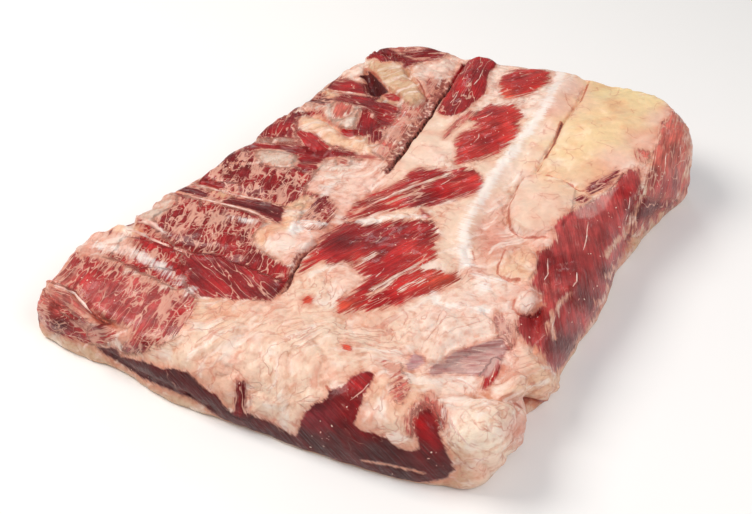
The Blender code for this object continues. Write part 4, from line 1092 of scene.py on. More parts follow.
    def refined(self, points: Points, faces: list) -> tuple[Points, list]:
        """Halves the cells near the fine lines.

        Args:
            points: Points of the smooth skin.
            faces: Its faces, as lists of point numbers.

        Returns:
            The points and faces with the finer cells.
        """
        mesh = bpy.data.meshes.new("coarse_skin")
        mesh.from_pydata(points.tolist(), [], faces)
        fine = bmesh.new()
        fine.from_mesh(mesh)
        lines = [path for path, *_ in CLEFTS + LEDGES + FOLD_SHADOW_LINES + FAT_SEAMS]
        lines += [outline + outline[:1] for outline, *_ in FLAPS]
        for reach, shortest in self.refinements:
            fine.normal_update()
            spots = np.array([corner.co for corner in fine.verts])
            outward = np.array([corner.normal for corner in fine.verts])
            toward = PLAN_POLE - spots
            seen = (outward * toward).sum(1) > 0
            place = on_plan(spots)
            near = np.zeros(len(spots), bool)
            for path in lines:
                near |= distance_to_path(place, path)[0] < reach
            near &= seen & (spots[:, 2] > RELIEF_STARTS)
            fine.verts.index_update()
            halved = [
                edge for edge in fine.edges
                if near[edge.verts[0].index] and near[edge.verts[1].index] and edge.calc_length() > shortest
            ]
            bmesh.ops.subdivide_edges(fine, edges=halved, cuts=1, use_grid_fill=True)
        fine.verts.index_update()
        points = np.array([corner.co for corner in fine.verts])
        faces = [[corner.index for corner in face.verts] for face in fine.faces]
        fine.free()
        bpy.data.meshes.remove(mesh)
        return points, faces

    def lobules(self, x: Points, y: Points, scale: float, seed: int) -> Points:
        """Lobules of one size, 1 in the middle of each and 0 between them, with bent edges.

        Args:
            x: The places' x.
            y: The places' y.
            scale: Their size, in millimetres.
            seed: Their seed.

        Returns:
            The shape at each place.
        """
        bend, bend_scale = 0.22 * scale, scale * 0.8
        bent_x = x + bend * smooth_noise(x, y, bend_scale, seed + 5)
        bent_y = y + bend * smooth_noise(x, y, bend_scale, seed + 6)
        return lobule_shape(bent_x, bent_y, scale, seed)

    def relief(self, place: Points) -> Points:
        """How far the skin stands out, in millimetres, at places of the plan.

        Args:
            place: The places.

        Returns:
            The height at each place.
        """
        x, y = place.T
        out = np.zeros(len(place))
        for path, depth, half_width in CLEFTS:
            distance, _, share = distance_to_path(place, path)
            ends = np.clip(np.minimum(share, 1 - share) * 8 + 0.25, 0, 1)
            out -= depth * ends * np.exp(-((distance / half_width) ** 2))
        for path, height, half_width in RIDGES:
            distance, _, share = distance_to_path(place, path)
            ends = np.clip(np.minimum(share, 1 - share) * 8 + 0.15, 0, 1)
            out += height * ends * np.exp(-((distance / half_width) ** 2))
        for path, height, reach in LEDGES:
            distance, side, share = distance_to_path(place, path)
            ends = np.clip(np.minimum(share, 1 - share) * 8, 0, 1)
            out += height * ends * np.where(side > 0, np.exp(-distance / reach),
                                            0) * np.clip(distance / 1.5, 0, 1)
        for middle_x, middle_y, half_across, half_along, height in BULGES:
            squared = ((x - middle_x) / half_across) ** 2 + ((y - middle_y) / half_along) ** 2
            out += height * np.exp(-(squared**1.4) * 0.9)
        fat = np.ones(len(place))
        for muscle in MUSCLES:
            depth = depth_inside(place, muscle.outline)
            fat = np.minimum(fat, np.clip(0.5 - depth / 4, 0, 1))
            turn = math.radians(muscle.grain)
            across = x * -math.sin(turn) + y * math.cos(turn)
            along = x * math.cos(turn) + y * math.sin(turn)
            cords = smooth_noise(along / 4.0, across, 3.4, 61) + 0.7 * smooth_noise(along / 3.0, across,
                                                                                    7.5, 62)
            out += np.clip(depth / 5, 0, 1) * (muscle.lift + 0.45 * cords)
        for outline, _ in FAT_LOBES:
            share = np.clip(depth_inside(place, outline) / 5 + 0.3, 0, 1)
            out += 1.3 * share * share * (3 - 2 * share)
        for outline, height, edge in FLAPS:
            share = np.clip(depth_inside(place, outline) / edge + 0.5, 0, 1)
            out += height * share * share * (3 - 2 * share)
        lobed = (0.25 + 0.75 * fat) * (1 - self.smoothness(place))
        for scale, height, seed in LOBULES:
            out += height * lobed * (self.lobules(x, y, scale, seed) - LOBULE_LEVEL)
        for scale, height, seed in UNEVENNESS:
            out += height * smooth_noise(x, y, scale, seed)
        return out

    def smoothness(self, place: Points) -> Points:
        """How smooth the fat is at places of the plan, from 0 to 1.

        Args:
            place: The places.

        Returns:
            The smoothness at each place.
        """
        smooth = np.zeros(len(place))
        for outline in SMOOTH_ZONES:
            smooth = np.maximum(smooth, np.clip(depth_inside(place, outline) / 8 + 0.5, 0, 0.88))
        return smooth

    def crease_shade(self, place: Points) -> Points:
        """How far places of the plan lie in a crease between lobules or beside a cleft, from 0 to 1.

        Args:
            place: The places.

        Returns:
            The depth of the crease at each place, which sets the shade painted there.
        """
        x, y = place.T
        deepest = np.zeros(len(place))
        for scale, _, seed in LOBULES:
            deepest = np.maximum(deepest, (1 - self.lobules(x, y, scale, seed)) * LOBULE_CREASE_SHADE)
        deepest *= 1 - self.smoothness(place)
        for path, depth, half_width in CLEFTS:
            distance = distance_to_path(place, path)[0]
            deepest = np.maximum(deepest, min(depth / 6,
                                              1.0) * np.exp(-((distance / half_width / 1.3) ** 2)))
        return deepest

    def wall_unevenness(self, points: Points) -> Points:
        """How far the back and left walls stand out, from noise along the wall and up it.

        Args:
            points: Points of the skin.

        Returns:
            The height at each point.
        """
        x, y, z = points.T
        return sum(
            height * 1.2 * smooth_noise(x + 1.7 * z, y - 1.3 * z, scale, seed)
            for scale, height, seed in UNEVENNESS
        )

    def sculpt(self) -> tuple[Points, list, Points, Points]:
        """The slab with its relief.

        Returns:
            The points before they are centred, in millimetres, the faces, where each point showed on the
            plan before the relief, and from 0 to 1 how far each one faces the plan's pole.
        """
        points, faces = self.refined(*self.smooth_skin())
        normals = self.normals(points, faces)
        toward_pole = PLAN_POLE - points
        toward_pole /= np.linalg.norm(toward_pole, axis=1)[:, None]
        facing = np.clip((normals * toward_pole).sum(1) * 4 + 0.2, 0, 1)
        above_base = np.clip((points[:, 2] - RELIEF_STARTS) / (RELIEF_FULL - RELIEF_STARTS), 0, 1)
        place = on_plan(points)
        out = facing * self.relief(place) + (1 - facing) * self.wall_unevenness(points)
        points = points + normals * (out * above_base)[:, None]
        sideways = normals[:, :2] / np.maximum(np.linalg.norm(normals[:, :2], axis=1), 0.3)[:, None]
        frill = sum(height * smooth_noise(points[:, 0], points[:, 1], scale, seed) for scale, height,
                    seed in FRILL)
        points[:, :2] += sideways * (frill * np.clip(1 - points[:, 2] / FRILL_TOP, 0, 1))[:, None]
        points[:, 2] = np.maximum(points[:, 2], 0.0)
        return points, faces, place, facing


@dataclass(frozen=True)
class Placing:
    """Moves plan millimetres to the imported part's metres.

    Attributes:
        middle: Middle of the slab's box before it is centred.
        stretch: What brings that box to the slab's own width and length.
    """

    middle: tuple[float, float]
    stretch: tuple[float, float]

    @classmethod
    def of(cls, points: Points) -> "Placing":
        """The placing that centres these points and gives them the slab's width and length."""
        lowest, highest = points[:, :2].min(0), points[:, :2].max(0)
        stretch = np.array((SLAB_WIDTH, SLAB_LENGTH)) / (highest - lowest)
        return cls(tuple((lowest + highest) / 2), tuple(stretch))

    def metres(self, points: Points) -> Points:
        """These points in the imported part's metres."""
        placed = np.array(points, float)
        placed[:, :2] = (placed[:, :2] - np.array(self.middle)) * np.array(self.stretch)
        return placed * MILLIMETRE


@dataclass(frozen=True)
class MeatPaint:
    """Paints what each point of the meat is: how lean, which fat, how pale or filmed, and the shade painted
    in its folds.

    Attributes:
        softness: How far a muscle's colour runs past its edge, in millimetres.
        deepest: Depth into the lean or the fat past which nothing changes.
        cap_top: Level of the top of the fat cap on the hidden walls.
        seam_level: Level of the fat seam between their two layers of lean.
        lean_top: Level of the top of the upper layer.
    """

    softness: float = 3.0
    deepest: float = 9.0
    cap_top: float = 10.0
    seam_level: float = 21.0
    lean_top: float = 34.0

    def muscle_fields(self, place: Points) -> dict[str, Points]:
        """Fields of the lean, blended from the muscles.

        Args:
            place: Places on the plan.

        Returns:
            Depth into the lean, its colour, fringe, marbling and grain.
        """
        count = len(place)
        found = {
            "lean_edge": np.full(count, -99.0), "feather": np.full(count, 2.0), "marbling": np.zeros(count),
            "lean_colour": np.tile(rgb_of(Lean.RED), (count, 1)),
            "grain": np.column_stack((place, np.zeros(count))),
        }
        for number, muscle in enumerate(MINGLED + MUSCLES):
            depth = depth_inside(place, muscle.outline)
            turn = math.radians(muscle.grain)
            along = place @ np.array((math.cos(turn), math.sin(turn)))
            across = place @ np.array((-math.sin(turn), math.cos(turn)))
            own = {
                "feather": np.full(count, muscle.feather),
                "marbling": np.full(count, muscle.marbling),
                "lean_colour": np.tile(rgb_of(muscle.colour), (count, 1)),
                "grain": np.column_stack((along, across, np.full(count, 17.0 * number))),
            }
            share = np.clip(depth / self.softness + 0.8, 0, 1)
            sharp = (depth > -self.softness) & (depth > found["lean_edge"] - 40 * (number >= len(MINGLED)))
            for name, values in own.items():
                taken = sharp.astype(float) if name == "grain" else np.where(sharp, share, 0)
                taken = taken[:, None] if values.ndim == 2 else taken
                found[name] = found[name] * (1 - taken) + values * taken
            found["lean_edge"] = np.maximum(found["lean_edge"], depth)
        for x, y, reach, kind in LEAN_TURNS:
            share = nearness(place, x, y, reach)[:, None]
            found["lean_colour"] = found["lean_colour"] * (1 - share) + share * rgb_of(kind)
        for x, y, reach, richness in MARBLING_TURNS:
            share = nearness(place, x, y, reach)
            found["marbling"] = found["marbling"] * (1 - share) + share * richness
        for path, half_width in FAT_SEAMS:
            found["lean_edge"] = np.minimum(found["lean_edge"],
                                            distance_to_path(place, path)[0] - half_width)
        for outline, _ in FAT_LOBES:
            found["lean_edge"] = np.minimum(found["lean_edge"], -depth_inside(place, outline))
        for muscle in MUSCLES:
            if muscle.colour in (Lean.ROSE, Lean.BLOOD):
                found["lean_edge"] = np.maximum(found["lean_edge"], depth_inside(place, muscle.outline))
        found["lean_edge"] = np.clip(found["lean_edge"], -self.deepest, self.deepest)
        return found

    def fat_colour(self, place: Points) -> Points:
        """Colour of the fat, blended from the fat stations.

        Args:
            place: Places on the plan.

        Returns:
            Linear red, green and blue for each place.
        """
        total = 0.02 * rgb_of(Fat.CREAM)[None, :].repeat(len(place), 0)
        weights = np.full(len(place), 0.02)
        for x, y, reach, kind in FAT_STATIONS:
            weight = nearness(place, x, y, reach)
            total += weight[:, None] * rgb_of(kind)
            weights += weight
        colour = total / weights[:, None]
        for outline, kind in FAT_LOBES:
            share = np.clip(depth_inside(place, outline) / 3 + 0.7, 0, 1)[:, None]
            colour = colour * (1 - share) + share * rgb_of(kind)
        return colour

    def line_field(self, place: Points, lines: tuple) -> Points:
        """Strongest of some lines at each place, fading from each path over its half-width.

        Args:
            place: Places on the plan.
            lines: The lines, as (path, half-width, strength).

        Returns:
            The strength at each place.
        """
        field = np.zeros(len(place))
        for path, half_width, strength in lines:
            distance = distance_to_path(place, path)[0]
            field = np.maximum(field, strength * np.exp(-((distance / half_width) ** 2) * 0.7))
        return field

    def film_field(self, place: Points) -> Points:
        """Strength of the purple-grey films, fading over their edges.

        Args:
            place: Places on the plan.

        Returns:
            The strength at each place.
        """
        field = np.zeros(len(place))
        for outline, strength in FILMS:
            field = np.maximum(field, strength * np.clip(depth_inside(place, outline) / 2.5 + 0.5, 0, 1))
        return field

    def hidden_fields(self, points: Points) -> dict[str, Points]:
        """Fields of the sides that turn away from the pole: layers of lean and fat over a fat cap.

        Args:
            points: The points, in plan millimetres.

        Returns:
            Each field by its name.
        """
        x, y, z = points.T
        around = x * 0.8 + y
        level = z + 3.0 * smooth_noise(around, z, 22.0, 51) + 1.6 * smooth_noise(around, z, 8.0, 52)
        depth = np.minimum(level - self.cap_top, self.lean_top - level)
        between = level - self.seam_level - 5 * smooth_noise(around, 0 * z, 48.0, 58)
        between = np.abs(between) - 1.8 * np.clip(0.35 + smooth_noise(around, z, 26.0, 59), 0, 1)
        depth = np.minimum(depth, np.maximum(between, -1.5))
        seam = np.abs(x + 17 + 2 * smooth_noise(z, y, 12.0, 53)) - 4.0
        back = np.clip((y - 150) / 20, 0, 1)
        depth = np.where(back > 0, np.minimum(depth, seam * back + depth * (1 - back)), depth)
        corner = np.clip((x - 100) / 20, 0, 1) * np.clip((-100 - y) / 20, 0, 1)
        depth = depth * (1 - corner) - 4 * corner
        below = rgb_of(Fat.TAN)
        above = rgb_of(Fat.PINK)
        share = np.clip((z - 6) / 20, 0, 1)[:, None]
        dark = rgb_of(Lean.DARK)
        deep = rgb_of(Lean.DEEP)
        tone = (0.5 + 0.5 * smooth_noise(around, z, 30.0, 54))[:, None]
        count = len(points)
        return {
            "lean_edge": np.clip(depth, -self.deepest, self.deepest),
            "lean_colour": dark * (1 - tone) + deep * tone,
            "feather": np.full(count, 2.0),
            "marbling": 0.14 + 0.14 * smooth_noise(around, z, 26.0, 55),
            "grain": np.column_stack((around, z, x - y)),
            "fat_colour": below * (1 - share) + above * share,
            **{name: np.zeros(count) for name in ("sinew", "film", "dark", "crust")},
            # Painted shade in the creases between lobules of the hidden walls.
            "crease_shade": 0.5 * (1 - lobule_shape(around, z, 15.0, 57)),
            "smoothness": np.full(count, 0.3),
        }

    def fields(self, points: Points, smooth_place: Points, facing: Points, form: SlabForm) -> dict[str,
                                                                                                   Points]:
        """Every field at points of the meat.

        Args:
            points: The points, in plan millimetres.
            smooth_place: Where they showed on the plan before the relief.
            facing: How far each one faces the plan's pole, from 0 to 1.
            form: The slab's form, which knows its creases.

        Returns:
            Each field by its name.
        """
        place = on_plan(points)
        seen = self.muscle_fields(place)
        seen["fat_colour"] = self.fat_colour(place)
        seen["sinew"] = self.line_field(place, TENDONS)
        seen["film"] = self.film_field(place)
        # Painted shade along the lines where the meat folds in.
        seen["dark"] = self.line_field(smooth_place, FOLD_SHADOW_LINES)
        seen["crust"] = self.line_field(smooth_place, CRUST_LINES)
        # Painted shade in the creases and beside the clefts.
        seen["crease_shade"] = form.crease_shade(smooth_place)
        seen["smoothness"] = form.smoothness(place)
        hidden = self.hidden_fields(points)
        mixed = {}
        for name, field in seen.items():
            share = np.clip(facing * 1.6 - 0.3, 0, 1)
            if name == "grain":
                share = np.round(share)
            share = share[:, None] if field.ndim == 2 else share
            mixed[name] = field * share + hidden[name] * (1 - share)
        return mixed

    def apply(self, mesh: bpy.types.Mesh, fields: dict[str, Points]) -> None:
        """Stores the fields on a mesh as attributes of its points.

        Args:
            mesh: The mesh.
            fields: The fields by their names, with a value for each point.
        """
        for name, field in fields.items():
            if name.endswith("colour"):
                attribute = mesh.attributes.new(name, "FLOAT_COLOR", "POINT")
                values = np.column_stack((field, np.ones(len(field))))
                attribute.data.foreach_set("color", values.astype(np.float32).ravel())
            elif field.ndim == 2:
                attribute = mesh.attributes.new(name, "FLOAT_VECTOR", "POINT")
                attribute.data.foreach_set("vector", field.astype(np.float32).ravel())
            else:
                attribute = mesh.attributes.new(name, "FLOAT", "POINT")
                attribute.data.foreach_set("value", field.astype(np.float32))


@dataclass(frozen=True)
class RawBeefFinish:
    """Moist raw beef: lean with fibres and marbling, and fat with soft lobules, as the painted fields say.

    Attributes:
        lean_roughness: Roughness of the lean, which is wet and reads glossier than the fat.
        fat_roughness: Roughness of the fat.
        film_roughness: Roughness of the purple-grey films.
        bump_strength: How deep the finest relief reads.
        warps_per_metre: How fine the bends of the marbling and of the fat's cells are.
        warp_reach: How far they bend the cells, in metres.
        swirls_per_metre: How fine the bends of the pulled fat are.
        swirl_reach: How far they bend it, in metres.
        cells_per_metre: How fine the cells are between which the capillaries run.
        surface: Values of the shader's own inputs.
        fields: The painted fields that the material reads, and what it reads of each.
    """

    lean_roughness: float = 0.36
    fat_roughness: float = 0.44
    film_roughness: float = 0.28
    bump_strength: float = 0.75
    warps_per_metre: float = 90.0
    warp_reach: tuple = (0.012, 0.012, 0.012)
    swirls_per_metre: float = 22.0
    swirl_reach: tuple = (0.05, 0.05, 0.02)
    cells_per_metre: float = 66.0
    surface: tuple = (
        ("IOR", 1.42), ("Specular IOR Level", 0.32), ("Coat Weight", 0.17), ("Coat Roughness", 0.11),
        ("Subsurface Weight", 0.12), ("Subsurface Radius", (1.0, 0.42, 0.30)), ("Subsurface Scale", 0.003),
    )
    fields: tuple = (("grain", "Vector"), ("feather", "Fac"), ("marbling", "Fac"), ("lean_edge", "Fac"),
                     ("crease_shade", "Fac"), ("smoothness", "Fac"), ("sinew", "Fac"), ("film", "Fac"),
                     ("dark", "Fac"), ("crust", "Fac"), ("lean_colour", "Color"), ("fat_colour", "Color"))
    vein_code: str = "#C87360"
    # Pale colour of the highlights painted in pearly streaks on the fat.
    pearl_highlight_code: str = "#F9E7DB"
    pull_degrees: float = 52.0
    blush_code: str = "#F1C1B6"
    stain_code: str = "#DB8F76"
    # Tint of the shade painted in the creases of the fat.
    crease_shade_code: str = "#D99E80"
    # Darker pink of the fat's folds, also used for the shade painted along the fold lines.
    fold_shade_code: str = "#D38573"
    marbling_code: str = "#E0A894"
    tendon_code: str = "#FCF4EE"
    film_light_code: str = "#EAC8BE"
    film_dark_code: str = "#CA938D"
    # Brown of the dried blood in the seams, also used for the shade painted in the deeper folds.
    dried_blood_and_shade_code: str = "#96483E"
    # Near-black painted shadow at the bottoms of the folds and in the pits of the dried blood.
    deepest_shadow_code: str = "#2E0F0C"
    # Pale colour of the sheen painted on the lean.
    gleam_highlight_code: str = "#EBB0A4"

    def build(self) -> bpy.types.Material:
        """Makes the material.

        Returns:
            The finished material.
        """
        material, tree, shader, place = new_material("raw_beef")

        made = partial(take, tree)

        def grained(along: float, across: float, detail: float) -> bpy.types.NodeSocket:
            """Noise drawn out along the fibres, with its lengths in millimetres."""
            scaled = made(Step.STRETCH, grain, (1 / along, 1 / across, 1 / across))
            return made(Step.NOISE, scaled, 1.0, detail)

        def spotted(size: float, detail: float) -> bpy.types.NodeSocket:
            """Noise with spots of about that size in millimetres."""
            return made(Step.NOISE, place, 1 / (size * MILLIMETRE), detail)

        def wrinkled(along: float, across: float, detail: float) -> bpy.types.NodeSocket:
            """Noise drawn out the way the fat was pulled, with its lengths in millimetres."""
            scale = [1 / (size * MILLIMETRE) for size in (along, across, across)]
            return made(Step.NOISE, made(Step.STRETCH, pulled, scale), 1.0, detail)

        painted = {}
        for name, output in self.fields:
            painted[name] = add_node(tree, "ShaderNodeAttribute", {"attribute_name": name}, {}, output)
        grain, feather, marbling = painted["grain"], painted["feather"], painted["marbling"]

        # Where the meat is lean: the painted edge, fringed along its fibres.
        comb = grained(15.0, 2.6, 2.0)
        strands = grained(22.0, 0.8, 1.0)
        loose = made(Step.MAXIMUM, made(Step.SUBTRACT, feather, 0.8), 0.15)
        fringe = made(Step.MULTIPLY, made(Step.SUBTRACT, comb, 0.5), made(Step.MULTIPLY, loose, 4.4))
        strays = made(Step.MULTIPLY, made(Step.SUBTRACT, strands, 0.5), made(Step.MULTIPLY, loose, 3.5))
        nibble = made(Step.MULTIPLY, made(Step.SUBTRACT, spotted(3.0, 4.0), 0.5), 2.4)
        edge = made(Step.ADD, made(Step.ADD, made(Step.ADD, painted["lean_edge"], fringe), strays), nibble)
        lean = made(Step.EASE, edge, made(Step.SUBTRACT, -0.4, made(Step.MULTIPLY, feather, 0.34)),
                    made(Step.ADD, 0.5, made(Step.MULTIPLY, feather, 0.44)))

        # Marbling: streaks drawn out along the bundles, and in rich lean a net of finer veins between them.
        warp = made(Step.SWIRL, place, self.warps_per_metre, 2.0)
        ways = {0: made(Step.EASE, marbling, 0.1, 0.6, 1.5, 6.0),
                1: made(Step.EASE, marbling, 0.1, 0.6, 0.6, 6.0), 2: 0.0}
        sway = add_node(tree, "ShaderNodeCombineXYZ", {}, ways)
        bent = made(Step.SHIFT, warp, sway, grain)
        crowding = made(Step.RANGE, spotted(17.0, 3.0), 0.36, 0.64, 0.10, 1.6)
        share = made(Step.MULTIPLY, marbling, crowding)
        rich = made(Step.EASE, marbling, 0.22, 0.45)
        veins = 0.0
        for along, across, width, gate in (
            (34.0, 7.5, 0.036, 1.0), (15.0, 8.0, 0.042, rich), (7.0, 15.0, 0.014, rich),
        ):
            wave = made(Step.NOISE, made(Step.STRETCH, bent, (1 / along, 1 / across, 1.0)), 1.0, 1.6)
            away = made(Step.ABSOLUTE, made(Step.SUBTRACT, wave, 0.5))
            reach = made(Step.ADD, made(Step.MULTIPLY, share, width), 0.001)
            vein = made(Step.EASE, made(Step.DIVIDE, away, reach), 0.3, 2.1, 1.0, 0.0)
            veins = made(Step.MAXIMUM, veins, made(Step.MULTIPLY, vein, gate))
        blotch = made(Step.ADD, grained(16.0, 6.0, 4.0), made(Step.MULTIPLY, share, 0.16))
        blotch = made(Step.MULTIPLY, made(Step.EASE, blotch, 0.62, 0.76, 0.0, 0.85), rich)
        fatty = made(Step.MAXIMUM, made(Step.MULTIPLY, veins, made(Step.EASE, share, 0.02, 0.16)), blotch)
        bare_lean = lean
        lean = made(Step.MULTIPLY, lean, made(Step.SUBTRACT, 1.0, made(Step.MULTIPLY, fatty, 0.85)))

        # Lean colour: patches, bundles, single fibres, and painted highlights: pale gleams of membrane.
        fibre, bundle = grained(18.0, 1.1, 2.0), grained(30.0, 4.2, 2.0)
        shade = made(Step.MULTIPLY, made(Step.EASE, fibre, 0.3, 0.7, 0.84, 1.18),
                     made(Step.EASE, bundle, 0.3, 0.7, 0.80, 1.24))
        shade = made(Step.MULTIPLY, shade, made(Step.EASE, spotted(14.0, 3.0), 0.3, 0.7, 0.72, 1.25))
        lean_colour = made(Step.SCALE, painted["lean_colour"], shade)
        # Painted sheen: pale highlight streaks along the fibres, faint where the lean's edge is crisp.
        painted_sheen = made(Step.MULTIPLY, made(Step.EASE, grained(9.0, 0.9, 3.0), 0.56, 0.76, 0.0, 0.32),
                     made(Step.EASE, spotted(16.0, 3.0), 0.40, 0.62))
        painted_sheen = made(Step.MULTIPLY, painted_sheen, made(Step.EASE, feather, 1.0, 2.6, 0.12, 1.0))
        lean_colour = made(Step.MIX, painted_sheen, lean_colour, linear(self.gleam_highlight_code))

        # Fat colour: a blush beside the lean and in patches, painted shade in the creases, wrinkles where
        # it was pulled with partly painted shade in their folds, painted highlights in pearly streaks, and
        # thin capillaries.
        fat_colour = painted["fat_colour"]
        blush = made(Step.EASE, spotted(24.0, 3.0), 0.46, 0.70, 0.0, 0.45)
        fat_colour = made(Step.TINT, blush, fat_colour, linear(self.blush_code))
        beside = made(Step.EASE, made(Step.ADD, edge, made(Step.MULTIPLY, spotted(7.0, 2.0), 4.0)), -3.5,
                      2.2, 0.0, 0.72)
        fat_colour = made(Step.MIX, beside, fat_colour, linear(self.stain_code))
        # Painted shade in the creases between lobules and beside the clefts, a darker pink-brown tint.
        crease_shade = made(Step.ADD, painted["crease_shade"], made(Step.EASE, spotted(5.0, 3.0), 0.3, 0.7, -0.2, 0.2))
        crease_shade = made(Step.EASE, crease_shade, 0.30, 0.90, 0.0, 0.75)
        fat_colour = made(Step.TINT, crease_shade, fat_colour, linear(self.crease_shade_code))
        uneven = made(Step.SUBTRACT, 1.0, painted["smoothness"])
        swirled = made(Step.SHIFT, made(Step.SWIRL, place, self.swirls_per_metre, 1.0), self.swirl_reach,
                       place)
        turn = {"Vector": swirled, "Angle": math.radians(-self.pull_degrees)}
        pulled = add_node(tree, "ShaderNodeVectorRotate", {"rotation_type": "Z_AXIS"}, turn)
        # Painted highlights: pale pearly streaks on the uneven fat.
        pearl_highlight = made(Step.EASE, wrinkled(22.0, 8.0, 3.0), 0.48, 0.70, 0.0, 0.70)
        fat_colour = made(Step.MIX, made(Step.MULTIPLY, pearl_highlight, uneven), fat_colour, linear(self.pearl_highlight_code))
        flush = made(Step.MULTIPLY, made(Step.EASE, wrinkled(30.0, 6.0, 3.0), 0.54, 0.74, 0.0, 0.65),
                     made(Step.EASE, spotted(34.0, 1.0), 0.4, 0.6))
        fat_colour = made(Step.MIX, made(Step.MULTIPLY, flush, uneven), fat_colour, linear(self.stain_code))
        # Fold lines where the fat was pulled: a darker pink, partly the fat's own colour and partly painted
        # shade in the folds.
        folded = made(Step.ABSOLUTE, made(Step.SUBTRACT, wrinkled(22.0, 9.0, 2.0), 0.5))
        fold = made(Step.MULTIPLY, made(Step.EASE, folded, 0.002, 0.026, 1.0, 0.0),
                    made(Step.EASE, spotted(26.0, 1.0), 0.40, 0.58))
        fold = made(Step.MULTIPLY, fold, uneven)
        fat_colour = made(Step.MIX, made(Step.MULTIPLY, fold, 0.52), fat_colour, linear(self.fold_shade_code))
        cells = {"Vector": made(Step.SHIFT, warp, self.warp_reach, place), "Scale": self.cells_per_metre}
        rim = add_node(tree, "ShaderNodeTexVoronoi", {"feature": "DISTANCE_TO_EDGE"}, cells, "Distance")
        thread = made(Step.MULTIPLY, made(Step.EASE, rim, 0.0, 0.05, 1.0, 0.0),
                      made(Step.EASE, spotted(12.0, 2.0), 0.48, 0.62))
        fat_colour = made(Step.MIX, made(Step.MULTIPLY, thread, 0.45), fat_colour, linear(self.vein_code))
        speck = made(Step.EASE, spotted(4.5, 3.0), 0.3, 0.7, 0.95, 1.04)
        fat_colour = made(Step.SCALE, fat_colour, speck)
        fat_colour = made(Step.MIX, bare_lean, fat_colour, linear(self.marbling_code))

        colour = made(Step.MIX, lean, fat_colour, lean_colour)
        strand = made(Step.MULTIPLY, made(Step.SUBTRACT, grained(26.0, 1.5, 3.0), 0.5), 1.5)
        torn = made(Step.MULTIPLY, made(Step.SUBTRACT, spotted(9.0, 3.0), 0.5), 1.6)
        pale = made(Step.EASE, made(Step.ADD, made(Step.ADD, painted["sinew"], strand), torn), 0.25, 1.0)
        pale = made(Step.MULTIPLY, pale, made(Step.EASE, painted["sinew"], 0.05, 0.35))
        colour = made(Step.MIX, made(Step.MULTIPLY, pale, 0.72), colour, linear(self.tendon_code))
        stripes = made(Step.MIX, made(Step.EASE, grained(14.0, 3.2, 2.0), 0.40, 0.68),
                       linear(self.film_light_code), linear(self.film_dark_code))
        film = painted["film"]
        colour = made(Step.MIX, made(Step.MULTIPLY, film, 0.85), colour, stripes)
        # Painted shade along the fold lines: a darker pink tint, browner where deeper, and a near-black
        # painted shadow where deepest.
        dark = painted["dark"]
        dark = made(Step.ADD, dark, made(Step.MULTIPLY, made(Step.SUBTRACT, spotted(3.0, 3.0), 0.5), 0.35))
        colour = made(Step.TINT, made(Step.EASE, dark, 0.16, 0.50, 0.0, 0.75), colour,
                      linear(self.fold_shade_code))
        colour = made(Step.MIX, made(Step.EASE, dark, 0.45, 0.95, 0.0, 0.85), colour,
                      linear(self.dried_blood_and_shade_code))
        colour = made(Step.MIX, made(Step.EASE, dark, 0.72, 1.05), colour, linear(self.deepest_shadow_code))
        # Dried blood crumbling in the open seams, with near-black painted shadow in pits between crumbs.
        crust = painted["crust"]
        crumb = made(Step.ADD, crust, made(Step.MULTIPLY, made(Step.SUBTRACT, spotted(3.0, 4.0), 0.5), 2.2))
        lined = made(Step.EASE, crust, 0.06, 0.30)
        colour = made(Step.MIX, made(Step.MULTIPLY, made(Step.EASE, crumb, 0.20, 0.62, 0.0, 0.92), lined),
                      colour, linear(self.dried_blood_and_shade_code))
        colour = made(Step.MIX, made(Step.MULTIPLY, made(Step.EASE, crumb, 0.74, 1.10, 0.0, 0.95), lined),
                      colour, linear(self.deepest_shadow_code))
        tree.links.new(colour, shader.inputs["Base Color"])

        gloss = made(Step.EASE, spotted(5.0, 2.0), 0.35, 0.65, -0.07, 0.09)
        rough = made(Step.RANGE, lean, 0.0, 1.0, self.fat_roughness, self.lean_roughness)
        rough = made(Step.RANGE, film, 0.0, 1.0, rough, self.film_roughness)
        tree.links.new(made(Step.ADD, rough, gloss), shader.inputs["Roughness"])
        for name, value in self.surface:
            shader.inputs[name].default_value = value

        ridged = made(Step.MULTIPLY, made(Step.ADD, fibre, made(Step.MULTIPLY, bundle, 1.5)), lean)
        pitted = made(Step.MULTIPLY, spotted(4.0, 3.0), made(Step.RANGE, uneven, 0.0, 1.0, 0.35, 1.0))
        dented = made(Step.ADD, made(Step.MULTIPLY, wrinkled(14.0, 3.6, 3.0),
                                     made(Step.MULTIPLY, uneven, 1.3)), made(Step.MULTIPLY, fold, -0.40))
        height = made(Step.ADD, made(Step.ADD, ridged, pitted),
                      made(Step.MULTIPLY, dented, made(Step.EASE, lean, 0.0, 1.0, 1.0, 0.0)))
        height = made(Step.ADD, height, made(Step.MULTIPLY, fatty, 0.4))
        bump = {"Strength": self.bump_strength, "Distance": 1.0 * MILLIMETRE, "Height": height}
        tree.links.new(add_node(tree, "ShaderNodeBump", {}, bump), shader.inputs["Normal"])
        return material


@dataclass
class Slab:
    """The whole brisket: its sculpted skin, painted and dressed as raw beef."""

    form: SlabForm
    paint: MeatPaint
    finish: RawBeefFinish

    def build(self) -> tuple[bpy.types.Object, Placing]:
        """Makes the slab.

        Returns:
            The slab's object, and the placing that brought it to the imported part's frame.
        """
        points, faces, place, facing = self.form.sculpt()
        placing = Placing.of(points)
        mesh = bpy.data.meshes.new("brisket_meat")
        mesh.from_pydata(placing.metres(points).tolist(), [], faces)
        mesh.shade_smooth()
        self.paint.apply(mesh, self.paint.fields(points, place, facing, self.form))
        mesh.materials.append(self.finish.build())
        return new_object("brisket_meat", mesh), placing


